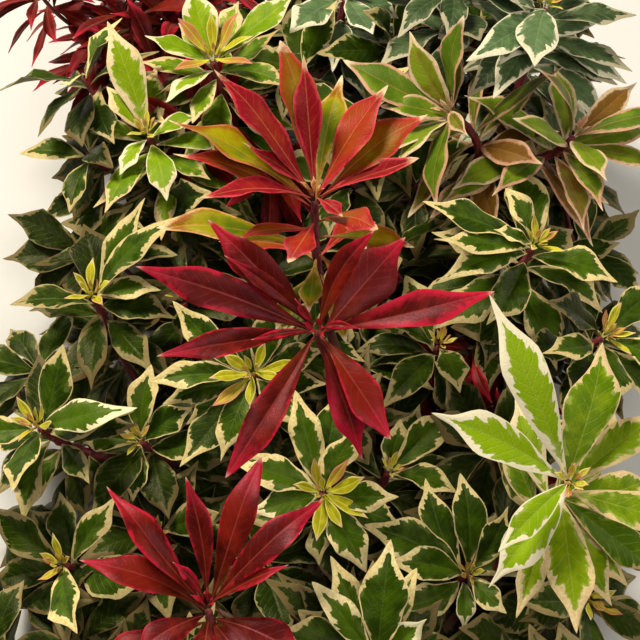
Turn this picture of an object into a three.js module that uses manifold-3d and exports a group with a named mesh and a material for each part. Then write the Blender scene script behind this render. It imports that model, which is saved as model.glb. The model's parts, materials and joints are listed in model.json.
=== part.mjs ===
// A cut, leafy branch of a variegated pieris, lying on a level surface.
// One woody stem lies along Y with its cut end towards -Y. Boughs and shoots rise from it, and each
// ends inside the whorl of leaves that it carries. Millimetres, +Z up, surface at z = 0.
import * as THREE from 'three';
import { mergeVertices } from 'three/addons/utils/BufferGeometryUtils.js';
import Module from 'manifold-3d';

const wasm = await Module();
wasm.setup();

// Moves the plan below so that the middle of the whole branch's footprint is the origin.
const FOOTPRINT_SHIFT = new THREE.Vector3(-2, -14, 0);

const GAP = 0.3; // clearance between neighbouring solids
const LIMB_SIDES = 6;
const LIMB_STEPS = 5;
const STEM_STEPS = 10;
const WHORL_RINGS = 4;
const END_BELOW_HEART = 3; // a shoot stops this far under the heart of its whorl

const STEM_FOOT_RADIUS = 7;
const STEM_TIP_RADIUS = 1.6;
const STEM_PATH = [
  [14, -205, 7.2],
  [5, -130, 6.2],
  [-3, -50, 5.3],
  [1, 30, 4.5],
  [4, 90, 6],
  [0, 138, 30],
];

const BOUGH_FOOT = 0.72; // share of the parent's radius at the fork
const SHOOT_FOOT_RADIUS = 2.3;
const SHOOT_TIP_RADIUS = 1.5;
const COLLAR = 0.25; // a limb is this much thicker where it leaves its parent
const COLLAR_REACH = 0.06; // share of the limb's length over which the collar fades

const WHORL_TOP = 7; // height of leaf tips over the rim of a whorl
const NOTCH = 0.26; // share of the leaf length by which the gaps between leaves cut in
const UNEVEN = 0.16; // how much the leaf lengths of one whorl differ

const FINISHES = {
  bark: { color: 0x6f5a45, roughness: 0.85 },
  young_bark: { color: 0x5c2a24, roughness: 0.6 },
  burgundy_leaf: { color: 0x6d0b1a, roughness: 0.35 },
  turning_leaf: { color: 0xa5471b, roughness: 0.4 },
  cream_edged_leaf: { color: 0x4c6f2a, roughness: 0.45 },
};

// Each row is one shoot and the whorl on its end.
// parent and at: the limb it leaves and where along it, from 0 at its foot to 1.
// heart: the point that the leaves radiate from. lean: compass bearing from +Y and tilt from
// upright of the shoot's end, in degrees. leaf: length of the leaves. rise: how steeply they stand
// up from the whorl's plane. count and turn: how many leaves and the bearing of the first.
// skirt: how far the older leaves reach down the shoot.
const SHOOTS = [
  { name: 'tip_far', parent: 'main_stem', at: 1, heart: [11, 178, 95], lean: [5, 12],
    leaf: 48, rise: 20, count: 8, turn: 20, skirt: 46, finish: 'cream_edged_leaf' },

  { name: 'red_front', parent: 'main_stem', at: 0.06, heart: [-41, -121, 95], lean: [345, 8],
    leaf: 60, rise: 32, count: 9, turn: 8, skirt: 28, finish: 'burgundy_leaf' },
  { name: 'cream_low_left', parent: 'red_front', at: 0.4, heart: [-66, -67, 45], lean: [230, 22],
    leaf: 40, rise: 12, count: 8, turn: 15, skirt: 58, finish: 'cream_edged_leaf' },
  { name: 'cream_under_front', parent: 'red_front', at: 0.26, heart: [-23, -79, 42], lean: [200, 12],
    leaf: 36, rise: 15, count: 8, turn: 0, skirt: 50, finish: 'cream_edged_leaf' },
  { name: 'cream_corner_left', parent: 'red_front', at: 0.12, heart: [-102, -86, 55], lean: [240, 28],
    leaf: 42, rise: 14, count: 8, turn: 30, skirt: 68, finish: 'cream_edged_leaf' },

  { name: 'cream_low_right', parent: 'main_stem', at: 0.09, heart: [58, -92, 60], lean: [140, 14],
    leaf: 42, rise: 16, count: 8, turn: 10, skirt: 66, finish: 'cream_edged_leaf' },
  { name: 'cream_near', parent: 'cream_low_right', at: 0.16, heart: [21, -134, 78], lean: [190, 16],
    leaf: 40, rise: 20, count: 8, turn: 22, skirt: 45, finish: 'cream_edged_leaf' },
  { name: 'fresh_right', parent: 'cream_low_right', at: 0.32, heart: [90, -87, 130], lean: [150, 12],
    leaf: 56, rise: 26, count: 8, turn: 5, skirt: 40, finish: 'cream_edged_leaf' },
  { name: 'cream_corner_right', parent: 'cream_low_right', at: 0.62, heart: [105, -101, 55], lean: [125, 28],
    leaf: 42, rise: 14, count: 8, turn: 40, skirt: 68, finish: 'cream_edged_leaf' },

  { name: 'cream_middle', parent: 'main_stem', at: 0.2, heart: [1, -67, 80], lean: [180, 14],
    leaf: 37, rise: 18, count: 8, turn: 12, skirt: 34, finish: 'cream_edged_leaf' },
  { name: 'cream_inner_right', parent: 'cream_middle', at: 0.25, heart: [28, -48, 62], lean: [90, 12],
    leaf: 38, rise: 15, count: 8, turn: 33, skirt: 45, finish: 'cream_edged_leaf' },

  { name: 'cream_low_side', parent: 'main_stem', at: 0.34, heart: [-74, -33, 60], lean: [250, 20],
    leaf: 42, rise: 14, count: 8, turn: 0, skirt: 74, finish: 'cream_edged_leaf' },
  { name: 'cream_left', parent: 'cream_low_side', at: 0.24, heart: [-27, -16, 85], lean: [215, 14],
    leaf: 36, rise: 20, count: 8, turn: 18, skirt: 40, finish: 'cream_edged_leaf' },
  { name: 'cream_high_side', parent: 'cream_low_side', at: 0.52, heart: [-95, 25, 80], lean: [280, 12],
    leaf: 42, rise: 18, count: 8, turn: 25, skirt: 48, finish: 'cream_edged_leaf' },
  { name: 'cream_inner_left', parent: 'cream_low_side', at: 0.36, heart: [-60, 42, 50], lean: [330, 14],
    leaf: 36, rise: 14, count: 8, turn: 5, skirt: 58, finish: 'cream_edged_leaf' },
  { name: 'cream_edge_left', parent: 'cream_low_side', at: 0.64, heart: [-114, -34, 74], lean: [262, 22],
    leaf: 42, rise: 16, count: 8, turn: 12, skirt: 60, finish: 'cream_edged_leaf' },

  { name: 'red_crown', parent: 'main_stem', at: 0.42, heart: [-1, -33, 145], lean: [185, 18],
    leaf: 72, rise: 14, count: 9, turn: 10, skirt: 22, finish: 'burgundy_leaf' },
  { name: 'amber_crown', parent: 'red_crown', at: 0.4, heart: [-2, 24, 150], lean: [0, 12],
    leaf: 62, rise: 32, count: 10, turn: 18, skirt: 34, finish: 'turning_leaf' },

  { name: 'olive_right', parent: 'main_stem', at: 0.5, heart: [89, 40, 95], lean: [80, 14],
    leaf: 46, rise: 20, count: 8, turn: 10, skirt: 46, finish: 'cream_edged_leaf' },
  { name: 'cream_behind_red', parent: 'olive_right', at: 0.42, heart: [50, 10, 65], lean: [60, 10],
    leaf: 38, rise: 15, count: 8, turn: 28, skirt: 42, finish: 'cream_edged_leaf' },
  { name: 'dark_red_low', parent: 'olive_right', at: 0.28, heart: [68, -7, 35], lean: [130, 24],
    leaf: 42, rise: 16, count: 8, turn: 0, skirt: 54, finish: 'burgundy_leaf' },
  { name: 'cream_side_right', parent: 'olive_right', at: 0.58, heart: [118, 8, 75], lean: [95, 24],
    leaf: 44, rise: 16, count: 8, turn: 14, skirt: 52, finish: 'cream_edged_leaf' },

  { name: 'yellow_far_left', parent: 'main_stem', at: 0.62, heart: [-47, 132, 105], lean: [320, 12],
    leaf: 42, rise: 20, count: 8, turn: 8, skirt: 45, finish: 'cream_edged_leaf' },
  { name: 'cream_far_side', parent: 'yellow_far_left', at: 0.38, heart: [-76, 106, 85], lean: [290, 14],
    leaf: 44, rise: 18, count: 8, turn: 20, skirt: 50, finish: 'cream_edged_leaf' },
  { name: 'red_far_left', parent: 'yellow_far_left', at: 0.56, heart: [-94, 187, 85], lean: [320, 20],
    leaf: 50, rise: 20, count: 9, turn: 15, skirt: 50, finish: 'burgundy_leaf' },

  { name: 'olive_far_right', parent: 'main_stem', at: 0.68, heart: [55, 91, 118], lean: [280, 45],
    leaf: 52, rise: 22, count: 9, turn: 12, skirt: 50, finish: 'turning_leaf' },
  { name: 'grey_far_corner', parent: 'olive_far_right', at: 0.54, heart: [96, 136, 135], lean: [50, 15],
    leaf: 50, rise: 22, count: 8, turn: 30, skirt: 55, finish: 'cream_edged_leaf' },
  { name: 'olive_edge_right', parent: 'olive_far_right', at: 0.7, heart: [108, 88, 108], lean: [85, 20],
    leaf: 48, rise: 20, count: 8, turn: 24, skirt: 52, finish: 'turning_leaf' },
  { name: 'grey_far', parent: 'olive_far_right', at: 0.34, heart: [58, 157, 120], lean: [20, 12],
    leaf: 44, rise: 18, count: 8, turn: 4, skirt: 60, finish: 'cream_edged_leaf' },
];

const vector = (values) => new THREE.Vector3(...values);

// Unit vector of a shoot's end, from its compass bearing and its tilt.
function direction([bearing, tilt]) {
  const b = THREE.MathUtils.degToRad(bearing);
  const t = THREE.MathUtils.degToRad(tilt);
  return new THREE.Vector3(Math.sin(t) * Math.sin(b), Math.sin(t) * Math.cos(b), Math.cos(t));
}

// A repeatable number from 0 to 1 for leaf number `index` of whorl number `seed`.
function chance(seed, index) {
  const wave = Math.sin(seed * 12.9898 + index * 78.233) * 43758.5453;
  return wave - Math.floor(wave);
}

function solidFrom(geometry) {
  geometry.deleteAttribute('normal');
  geometry.deleteAttribute('uv');
  const merged = mergeVertices(geometry);
  return new wasm.Manifold(new wasm.Mesh({
    numProp: 3,
    vertProperties: merged.getAttribute('position').array,
    triVerts: Uint32Array.from(merged.getIndex().array),
  }));
}

function geometryFrom(solid) {
  const { vertProperties, triVerts } = solid.getMesh();
  const geometry = new THREE.BufferGeometry();
  geometry.setAttribute('position', new THREE.BufferAttribute(vertProperties, 3));
  geometry.setIndex(new THREE.BufferAttribute(triVerts, 1));
  return geometry;
}

// The largest body of a solid that a cut may have parted.
function largestBody(solid) {
  return solid.decompose().reduce((best, body) => (body.volume() > best.volume() ? body : best));
}

function boxesMeet(a, b) {
  const boxA = a.boundingBox();
  const boxB = b.boundingBox();
  return [0, 1, 2].every((axis) => boxA.min[axis] < boxB.max[axis] && boxB.min[axis] < boxA.max[axis]);
}

// A round rod bent along a curve. Its radius falls evenly from foot to tip, plus the fork's collar.
function limbSolid(limb, grow) {
  const { curve, foot, tip, steps } = limb;
  const rod = new THREE.CylinderGeometry(1, 1, 1, LIMB_SIDES, steps);
  const frames = curve.computeFrenetFrames(steps, false);
  const place = rod.getAttribute('position');
  for (let i = 0; i < place.count; i += 1) {
    const along = place.getY(i) + 0.5;
    const ring = Math.round(along * steps);
    const collar = foot * COLLAR * Math.exp(-along / COLLAR_REACH);
    const radius = foot + (tip - foot) * along + (limb.parent ? collar : 0) + grow;
    const point = curve.getPointAt(along);
    point.addScaledVector(frames.binormals[ring], place.getX(i) * radius);
    point.addScaledVector(frames.normals[ring], place.getZ(i) * radius);
    if (along === 0) point.addScaledVector(frames.tangents[ring], -grow);
    if (along === 1) point.addScaledVector(frames.tangents[ring], grow);
    place.setXYZ(i, point.x, point.y, point.z);
  }
  return solidFrom(rod);
}

function radiusAt(limb, along) {
  return limb.foot + (limb.tip - limb.foot) * along;
}

// The main stem runs through its path and turns up into its own whorl.
function stemLimb(shoot) {
  const end = vector(shoot.heart).addScaledVector(direction(shoot.lean), -END_BELOW_HEART);
  const curve = new THREE.CatmullRomCurve3([...STEM_PATH.map(vector), end], false, 'centripetal');
  return { curve, foot: STEM_FOOT_RADIUS, tip: STEM_TIP_RADIUS, steps: STEM_STEPS, parent: null };
}

// A bough or shoot leaves its parent half along it, half towards its heart, and arrives upright
// along its own lean.
function sideLimb(shoot, parent) {
  const start = parent.curve.getPointAt(shoot.at);
  const lean = direction(shoot.lean);
  const end = vector(shoot.heart).addScaledVector(lean, -END_BELOW_HEART);
  const reach = start.distanceTo(end);
  const away = end.clone().sub(start).setZ(0).normalize();
  away.add(parent.curve.getTangentAt(shoot.at)).normalize();
  const leave = start.clone().addScaledVector(away, reach * 0.38);
  leave.z = Math.max(leave.z, start.z + reach * 0.1);
  const arrive = end.clone().addScaledVector(lean, -reach * 0.42);
  const curve = new THREE.CubicBezierCurve3(start, leave, arrive, end);
  const isBough = shoot.parent === 'main_stem';
  const foot = isBough ? radiusAt(parent, shoot.at) * BOUGH_FOOT : SHOOT_FOOT_RADIUS;
  return { curve, foot, tip: SHOOT_TIP_RADIUS, steps: LIMB_STEPS, parent };
}

// A whorl is a lobed, uneven cushion: one lobe for each leaf, its rim at the leaves' tips, a low
// dome over the rim and a deeper belly round the older leaves under it.
function whorlSolid(shoot, seed) {
  const axis = direction(shoot.lean);
  const across = new THREE.Vector3(1, 0, 0).addScaledVector(axis, -axis.x).normalize();
  const deep = axis.clone().cross(across);
  const rise = THREE.MathUtils.degToRad(shoot.rise);
  const reach = shoot.leaf * Math.cos(rise);
  const lift = shoot.leaf * Math.sin(rise);
  const first = THREE.MathUtils.degToRad(shoot.turn);
  const ball = new THREE.SphereGeometry(1, 2 * shoot.count, WHORL_RINGS);
  const place = ball.getAttribute('position');
  for (let i = 0; i < place.count; i += 1) {
    const bearing = Math.atan2(-place.getZ(i), place.getX(i));
    const height = place.getY(i);
    const width = Math.sqrt(Math.max(0, 1 - height * height));
    const lobe = 0.5 - 0.5 * Math.cos(shoot.count * bearing);
    const leafNumber = Math.round((bearing / (2 * Math.PI)) * shoot.count + shoot.count) % shoot.count;
    const length = 1 - UNEVEN * chance(seed, leafNumber);
    const radius = reach * width * length * (1 - NOTCH * lobe);
    const level = lift + (height > 0 ? WHORL_TOP : lift + shoot.skirt) * height;
    const point = vector(shoot.heart).addScaledVector(axis, level);
    point.addScaledVector(across, radius * Math.cos(bearing + first));
    point.addScaledVector(deep, radius * Math.sin(bearing + first));
    place.setXYZ(i, point.x, point.y, point.z);
  }
  return solidFrom(ball);
}

// Parts two whorls that grow into each other along a plane through the middle of where they meet.
function partNeighbours(a, b) {
  const shared = a.solid.intersect(b.solid);
  if (shared.isEmpty()) return;
  const { min, max } = shared.boundingBox();
  const middle = vector(min).add(vector(max)).multiplyScalar(0.5);
  const across = b.centre.clone().sub(a.centre).normalize();
  const offset = middle.dot(across);
  a.solid = a.solid.trimByPlane(across.clone().negate().toArray(), -offset + GAP / 2);
  b.solid = b.solid.trimByPlane(across.toArray(), offset + GAP / 2);
}

const limbs = {};
for (const shoot of SHOOTS) {
  const limbName = shoot.parent === 'main_stem' && shoot.at === 1 ? 'main_stem' : shoot.name;
  limbs[limbName] = limbName === 'main_stem' ? stemLimb(shoot) : sideLimb(shoot, limbs[shoot.parent]);
}

for (const limb of Object.values(limbs)) {
  limb.room = limbSolid(limb, GAP);
  limb.solid = limbSolid(limb, 0);
}
for (const limb of Object.values(limbs)) {
  if (limb.parent) limb.solid = largestBody(limb.solid.subtract(limb.parent.room));
}

const whorls = SHOOTS.map((shoot, seed) => {
  const belly = (shoot.leaf * Math.sin(THREE.MathUtils.degToRad(shoot.rise)) - shoot.skirt) / 2;
  const centre = vector(shoot.heart).addScaledVector(direction(shoot.lean), belly);
  return { shoot, centre, solid: whorlSolid(shoot, seed).trimByPlane([0, 0, 1], 0) };
});
whorls.forEach((whorl, i) => {
  whorls.slice(i + 1).forEach((other) => partNeighbours(whorl, other));
});
for (const whorl of whorls) {
  for (const limb of Object.values(limbs)) {
    if (boxesMeet(whorl.solid, limb.room)) whorl.solid = whorl.solid.subtract(limb.room);
  }
  whorl.solid = largestBody(whorl.solid);
}

function makeNode(name, solid, finish) {
  const material = new THREE.MeshStandardMaterial({ ...FINISHES[finish], metalness: 0 });
  const mesh = new THREE.Mesh(geometryFrom(solid), material);
  mesh.name = name;
  return mesh;
}

const branch = new THREE.Group();
branch.position.copy(FOOTPRINT_SHIFT);
for (const [name, limb] of Object.entries(limbs)) {
  const isShoot = limb.parent && limb.parent.parent;
  const nodeName = limb.parent ? `${isShoot ? 'shoot' : 'bough'}_${name}` : name;
  branch.add(makeNode(nodeName, limb.solid, isShoot ? 'young_bark' : 'bark'));
}
for (const { shoot, solid } of whorls) {
  branch.add(makeNode(`leaves_${shoot.name}`, solid, shoot.finish));
}

export default branch;
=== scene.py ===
"""A cut branch of a variegated pieris: bark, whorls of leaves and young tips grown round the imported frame.

Sizes in the plan are millimetres. The last step of every piece turns them into metres.
"""

import json
import math
from collections import namedtuple

import bpy
import numpy as np
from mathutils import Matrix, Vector

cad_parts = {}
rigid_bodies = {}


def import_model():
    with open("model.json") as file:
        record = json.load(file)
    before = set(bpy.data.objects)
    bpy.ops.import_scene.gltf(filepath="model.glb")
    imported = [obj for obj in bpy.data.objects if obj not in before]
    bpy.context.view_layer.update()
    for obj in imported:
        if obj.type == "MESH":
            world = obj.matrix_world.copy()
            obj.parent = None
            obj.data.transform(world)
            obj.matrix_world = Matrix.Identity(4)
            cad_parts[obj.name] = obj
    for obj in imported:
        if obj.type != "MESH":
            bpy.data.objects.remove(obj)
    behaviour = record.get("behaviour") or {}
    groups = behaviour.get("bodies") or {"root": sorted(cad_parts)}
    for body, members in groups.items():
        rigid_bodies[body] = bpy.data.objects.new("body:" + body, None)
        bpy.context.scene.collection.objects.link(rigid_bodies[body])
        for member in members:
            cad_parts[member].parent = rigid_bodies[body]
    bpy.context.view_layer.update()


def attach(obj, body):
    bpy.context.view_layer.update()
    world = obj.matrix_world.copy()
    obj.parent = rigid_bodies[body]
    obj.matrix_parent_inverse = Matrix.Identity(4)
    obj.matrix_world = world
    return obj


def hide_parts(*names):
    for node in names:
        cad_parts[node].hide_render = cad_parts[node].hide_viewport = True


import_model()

MM = 0.001
GOLDEN_RATIO, GOLDEN_ANGLE = 1.618, 137.5
PLAN_SHIFT = np.array([-2.0, -14.0, 0.0])  # from the plan to the frame, where the footprint is centred
SEED = 1871

# ---------------------------------------------------------------- the branch's plan

STEM_PATH = np.array(
    [[14, -205, 7.2], [5, -130, 6.2], [-3, -50, 5.3], [1, 30, 4.5], [4, 90, 6], [0, 138, 30]], float
)
STEM_FOOT, STEM_TIP = 7.0, 1.6
BOUGH_FOOT = 0.72  # share of the parent's radius at the fork
SHOOT_FOOT, SHOOT_TIP = 2.3, 1.5
COLLAR, COLLAR_REACH = 0.25, 0.06  # a limb is thicker where it leaves its parent
END_BELOW_HEART = 3.0
LEAVE, ARRIVE, CLIMB = 0.38, 0.42, 0.1  # how a side limb's curve leaves its parent, meets its end and climbs

# parent and at: the limb a shoot leaves and where along it. heart: the point its leaves radiate from.
# lean: compass bearing from +Y and tilt from upright. leaf: leaf length. rise: how steeply the top
# leaves stand. count and skirt: leaves in a ring, and how far the older rings reach down.
Shoot = namedtuple("Shoot", "parent at heart lean leaf rise count skirt kind")
SHOOTS = {
    "tip_far": Shoot("main_stem", 1, (11, 178, 95), (5, 12), 44, 20, 8, 46, "grey"),
    "red_front": Shoot("main_stem", 0.06, (-41, -121, 95), (345, 8), 58, 30, 8, 28, "burgundy"),
    "cream_low_left": Shoot("red_front", 0.4, (-66, -67, 45), (230, 22), 38, 14, 8, 40, "cream"),
    "cream_under_front": Shoot("red_front", 0.26, (-23, -79, 42), (200, 12), 34, 15, 8, 36, "cream"),
    "cream_corner_left": Shoot("red_front", 0.12, (-102, -86, 55), (240, 28), 40, 14, 8, 46, "cream"),
    "cream_low_right": Shoot("main_stem", 0.09, (58, -92, 60), (140, 14), 40, 16, 8, 46, "cream"),
    "cream_near": Shoot("cream_low_right", 0.16, (21, -134, 78), (190, 16), 40, 20, 8, 40, "cream"),
    "fresh_right": Shoot("cream_low_right", 0.32, (90, -87, 130), (150, 12), 54, 26, 8, 40, "fresh"),
    "cream_corner_right": Shoot("cream_low_right", 0.62, (105, -101, 55), (125, 28), 40, 14, 8, 46, "cream"),
    "cream_middle": Shoot("main_stem", 0.2, (1, -67, 80), (180, 14), 36, 14, 8, 34, "cream"),
    "cream_inner_right": Shoot("cream_middle", 0.25, (28, -48, 62), (90, 12), 36, 15, 8, 38, "cream"),
    "cream_low_side": Shoot("main_stem", 0.34, (-74, -33, 60), (250, 20), 40, 14, 8, 48, "cream"),
    "cream_left": Shoot("cream_low_side", 0.24, (-27, -16, 85), (215, 14), 36, 18, 8, 36, "cream"),
    "cream_high_side": Shoot("cream_low_side", 0.52, (-95, 25, 80), (280, 12), 42, 18, 8, 44, "cream"),
    "cream_inner_left": Shoot("cream_low_side", 0.36, (-60, 42, 50), (330, 14), 36, 14, 8, 42, "cream"),
    "cream_edge_left": Shoot("cream_low_side", 0.64, (-114, -34, 74), (262, 22), 40, 16, 8, 48, "cream"),
    "red_crown": Shoot("main_stem", 0.42, (-1, -33, 145), (185, 18), 64, 14, 8, 22, "burgundy"),
    "amber_crown": Shoot("red_crown", 0.4, (-2, 24, 150), (0, 12), 56, 30, 9, 34, "turning"),
    "olive_right": Shoot("main_stem", 0.5, (89, 40, 95), (80, 14), 46, 20, 8, 42, "cream"),
    "cream_behind_red": Shoot("olive_right", 0.42, (50, 10, 65), (60, 10), 38, 15, 8, 38, "cream"),
    "dark_red_low": Shoot("olive_right", 0.28, (68, -7, 35), (130, 24), 38, 16, 8, 30, "burgundy"),
    "cream_side_right": Shoot("olive_right", 0.58, (118, 8, 75), (95, 24), 42, 16, 8, 46, "cream"),
    # yellow_far_left and cream_far_side bear the bright fresh kind partly for their own lime colour, partly
    # as painted light on the far end
    "yellow_far_left": Shoot("main_stem", 0.62, (-47, 132, 105), (320, 12), 42, 20, 8, 42, "fresh"),
    "cream_far_side": Shoot("yellow_far_left", 0.38, (-76, 106, 85), (290, 14), 44, 18, 8, 44, "fresh"),
    "red_far_left": Shoot("yellow_far_left", 0.56, (-94, 187, 85), (320, 20), 48, 20, 9, 44, "burgundy"),
    "olive_far_right": Shoot("main_stem", 0.68, (55, 91, 118), (280, 45), 46, 22, 9, 40, "olive"),
    "grey_far_corner": Shoot("olive_far_right", 0.54, (96, 136, 135), (50, 15), 46, 22, 8, 46, "grey"),
    "olive_edge_right": Shoot("olive_far_right", 0.7, (108, 88, 108), (85, 20), 46, 20, 8, 44, "olive"),
    "grey_far": Shoot("olive_far_right", 0.34, (58, 157, 120), (20, 12), 42, 18, 8, 46, "grey"),
}

# ---------------------------------------------------------------- leaves placed one by one
# bearing round the shoot from its right-hand side, rise, length, width, level over the heart, tint,
# and where it matters the fold in degrees
PLACED = {
    "amber_crown": [
        (147, 48, 61, 15, 0, 0.14, 18), (109, 52, 61, 17, -1, 0.72), (98, 58, 53, 12, 1, 0.0, 16),
        (76, 40, 52, 14, -4, 0.98), (45, 42, 51, 20, -1, 0.34), (27, 32, 54, 17, -3, 0.62),
        (5, 22, 42, 11, 0, 0.05, 34), (163, 30, 63, 17, -3, 0.86), (169, 22, 57, 15, -5, 0.5),
        (195, 14, 44, 12, 0, 0.05, 26), (168, 35, 34, 8, 2, 0.0), (306, 10, 17, 7, 1, 0.0),
        (176, 10, 62, 16, -26, 0.92), (190, 5, 30, 9, -16, 0.5), (249, 8, 27, 13, -12, 0.3, 8),
        (323, 28, 31, 15, -12, 0.45, 8), (347, 6, 38, 15, -20, 0.8), (304, -12, 29, 10, -28, 0.85),
        (300, -42, 30, 11, -38, 0.95), (262, -20, 24, 10, -30, 0.95), (225, -30, 28, 11, -38, 1.1),
    ],
    "red_crown": [
        (162, 12, 70, 15, -2, 0.6, 12), (193, 16, 60, 12, 0, 0.35, 32), (136, 22, 56, 14, 0, 0.15, 16),
        (147, 34, 46, 7, 2, 0.05, 30), (239, 4, 63, 14, 0, 0.45, 26), (303, 6, 48, 14, -1, 0.4, 18),
        (290, -12, 48, 13, -7, 0.95, 10), (10, 14, 66, 15, -2, 0.8, 18), (49, 4, 49, 20, -9, 0.1, 6),
        (56, 32, 43, 10, 1, 0.2, 24), (200, 40, 30, 4, 3, 0.4, 30), (352, 40, 17, 3.5, 4, 0.4, 30),
        (130, 45, 14, 3.5, 4, 0.4, 30),
    ],
    "red_front": [
        (136, 38, 57, 13, -1, 0.5), (101, 46, 48, 10.5, 1, 0.4, 26), (66, 38, 58, 14, -2, 0.3, 12),
        (35, 30, 57, 14, 0, 0.45, 16), (166, 22, 50, 14, -3, 0.4), (144, 48, 20, 5, 3, 0.6),
        (10, 30, 34, 7, 3, 0.5, 30), (214, 5, 30, 13, -4, 0.4), (203, 0, 45, 15, -9, 0.4),
        (331, 5, 40, 15, -7, 0.4), (300, 10, 32, 13, -9, 0.4), (267, 5, 34, 14, -6, 0.4),
    ],
    "cream_middle": [
        (105, 12, 41, 14, -2, 0.51), (60, 20, 30, 12, -2, 0.57), (163, 14, 34, 15, -2, 0.63),
        (195, 8, 28, 12, -3, 0.75), (356, 14, 29, 13, -3, 0.63), (299, 0, 34, 15, -3, 0.66),
        (267, -8, 25, 11, -9, 0.57), (81, 6, 46, 14, -8, 0.51), (342, 0, 32, 14, -10, 0.57),
        (152, 5, 38, 14, -9, 0.57), (222, 0, 29, 12, -8, 0.51),
    ],
    "cream_left": [
        (184, 12, 41, 13, -2, 0.43), (194, 4, 38, 12, -5, 0.37), (230, 0, 46, 15, -7, 0.37),
        (248, -4, 36, 14, -3, 0.43), (136, 10, 46, 14, -7, 0.43), (311, 0, 29, 13, -3, 0.37),
        (17, 10, 30, 13, -4, 0.37), (70, 20, 31, 14, -5, 0.37),
    ],
    "fresh_right": [
        (119, 25, 73, 18, -1, 0.9, 14), (160, 16, 57, 17, -2, 0.9, 12), (232, -4, 47, 16, -2, 0.9),
        (225, 10, 41, 11, 1, 0.8),
    ],
    "cream_low_right": [
        (96, 22, 38, 15, -1, 0.63), (61, 30, 30, 12, 0, 0.57), (157, 10, 44, 18, -4, 0.57),
        (176, 15, 31, 15, -2, 0.63), (307, 25, 22, 11, -1, 0.63), (203, 0, 31, 14, -9, 0.57),
        (11, 10, 34, 13, -3, 0.63), (111, 10, 41, 14, -8, 0.57), (268, 11, 20, 9, -8, 0.99),
    ],
    "cream_near": [
        (82, 24, 44, 18, -1, 0.63), (131, 24, 36, 13, -1, 0.69), (114, 10, 41, 12, -6, 0.57),
        (65, 14, 36, 11, -5, 0.57), (36, 20, 24, 12, -3, 0.93),
    ],
    "cream_inner_right": [
        (45, 20, 36, 15, -1, 0.43), (341, 12, 28, 13, -2, 0.49), (14, 0, 36, 15, -7, 0.37),
        (80, 30, 22, 12, -3, 0.43), (67, 10, 37, 13, -8, 0.37),
    ],
    "olive_far_right": [
        (137, 50, 53, 17, -2, 1.1), (86, 50, 38, 14, 0, 0.72), (32, 40, 41, 16, -1, 1.1),
        (250, 0, 44, 15, -1, 1.1), (222, 25, 33, 12, -3, 1.1), (203, 35, 48, 14, -6, 1.0),
        (165, 55, 33, 12, -5, 0.95), (291, 0, 22, 7, 2, 0.7), (37, 30, 24, 8, 1, 0.75),
    ],
    # the far-left tints are set high partly for their fresh colour, partly as painted light on the far end of
    # the branch
    "yellow_far_left": [(105, 35, 38, 16, -4, 0.75), (27, 20, 48, 16, -3, 0.7), (161, 25, 32, 12, -4, 0.7)],
    "grey_far": [(232, 5, 39, 14, -1, 0.2), (263, 5, 31, 13, -1, 0.2)],
    "grey_far_corner": [
        (228, 0, 53, 15, -2, 0.43), (258, 0, 45, 18, -2, 0.43), (245, -10, 52, 15, -6, 0.43),
    ],
    "tip_far": [(287, 10, 41, 14, -1, 0.7), (321, 15, 30, 13, -3, 0.6), (235, 10, 42, 17, -3, 0.5)],
    # tints set high partly for fresh colour, partly as painted light on the far end of the branch
    "cream_far_side": [
        (128, 30, 28, 12, -1, 0.6), (105, 40, 54, 16, -3, 0.65), (239, 5, 22, 11, -3, 0.8),
        (284, 0, 34, 13, -6, 0.75), (8, 15, 24, 12, -3, 0.7),
    ],
    "olive_right": [
        (176, 15, 53, 15, -3, 0.49), (194, 12, 48, 13, -2, 0.43), (210, 5, 48, 14, -6, 0.61),
        (181, 20, 20, 9, 0, 0.49), (127, 30, 26, 11, -2, 0.49),
    ],
    "cream_low_side": [
        (73, 25, 31, 14, -2, 0.37), (23, 15, 26, 13, -3, 0.43), (262, 1, 24, 12, -3, 0.37),
        (174, 11, 26, 13, -2, 0.37),
    ],
    "cream_edge_left": [(356, 15, 48, 14, -2, 0.8)],
    "cream_high_side": [
        (353, 10, 30, 12, -2, 0.37), (22, 30, 54, 14, -3, 0.35), (49, 30, 48, 14, -6, 0.37),
        (4, 5, 24, 11, -3, 0.37),
    ],
}

# young leaves at the heart, in the same columns
YOUNG = {
    "cream_middle": [
        (105, 40, 14, 4, 1, 0.7), (48, 40, 17, 4.5, 1, 0.85), (13, 35, 19, 6, 1, 0.2),
        (328, 10, 20, 6, 1, 0.3), (298, 5, 15, 5, 2, 0.1), (293, -5, 18, 4, 0, 0.9),
        (263, 0, 18, 6, 1, 0.2), (171, 35, 12, 4, 1, 0.4),
    ],
    "cream_left": [
        (192, 25, 17, 5, 1, 0.1), (152, 36, 13, 5, 1, 0.2), (58, 35, 13, 5, 1, 0.1), (8, 20, 19, 5, 1, 0.4),
        (342, 20, 13, 4, 2, 0.2), (220, 5, 20, 6, 0, 0.8), (266, 0, 13, 4.5, 1, 0.3),
    ],
    "yellow_far_left": [
        (140, 45, 21, 6, 1, 0.9), (82, 56, 18, 5, 2, 0.3), (41, 45, 21, 6, 1, 0.9), (357, 35, 21, 6, 1, 0.4),
        (323, 20, 24, 6, 0, 1.0), (224, 25, 21, 6, 0, 1.0),
    ],
}

# whorls whose young leaves barely show
SMALL_HEARTS = (
    "cream_behind_red", "cream_inner_right", "cream_low_right", "cream_under_front", "cream_low_left",
)

# leaves grown under the listed ones, and the bearings that stay open between them
UNDER = {"amber_crown": 3, "red_crown": 0, "red_front": 4, "fresh_right": 14, "olive_far_right": 14,
         "cream_behind_red": 11}
OPEN = {"amber_crown": (150, 380), "red_front": (20, 200), "fresh_right": (105, 240),
        "cream_behind_red": (300, 400)}

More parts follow.
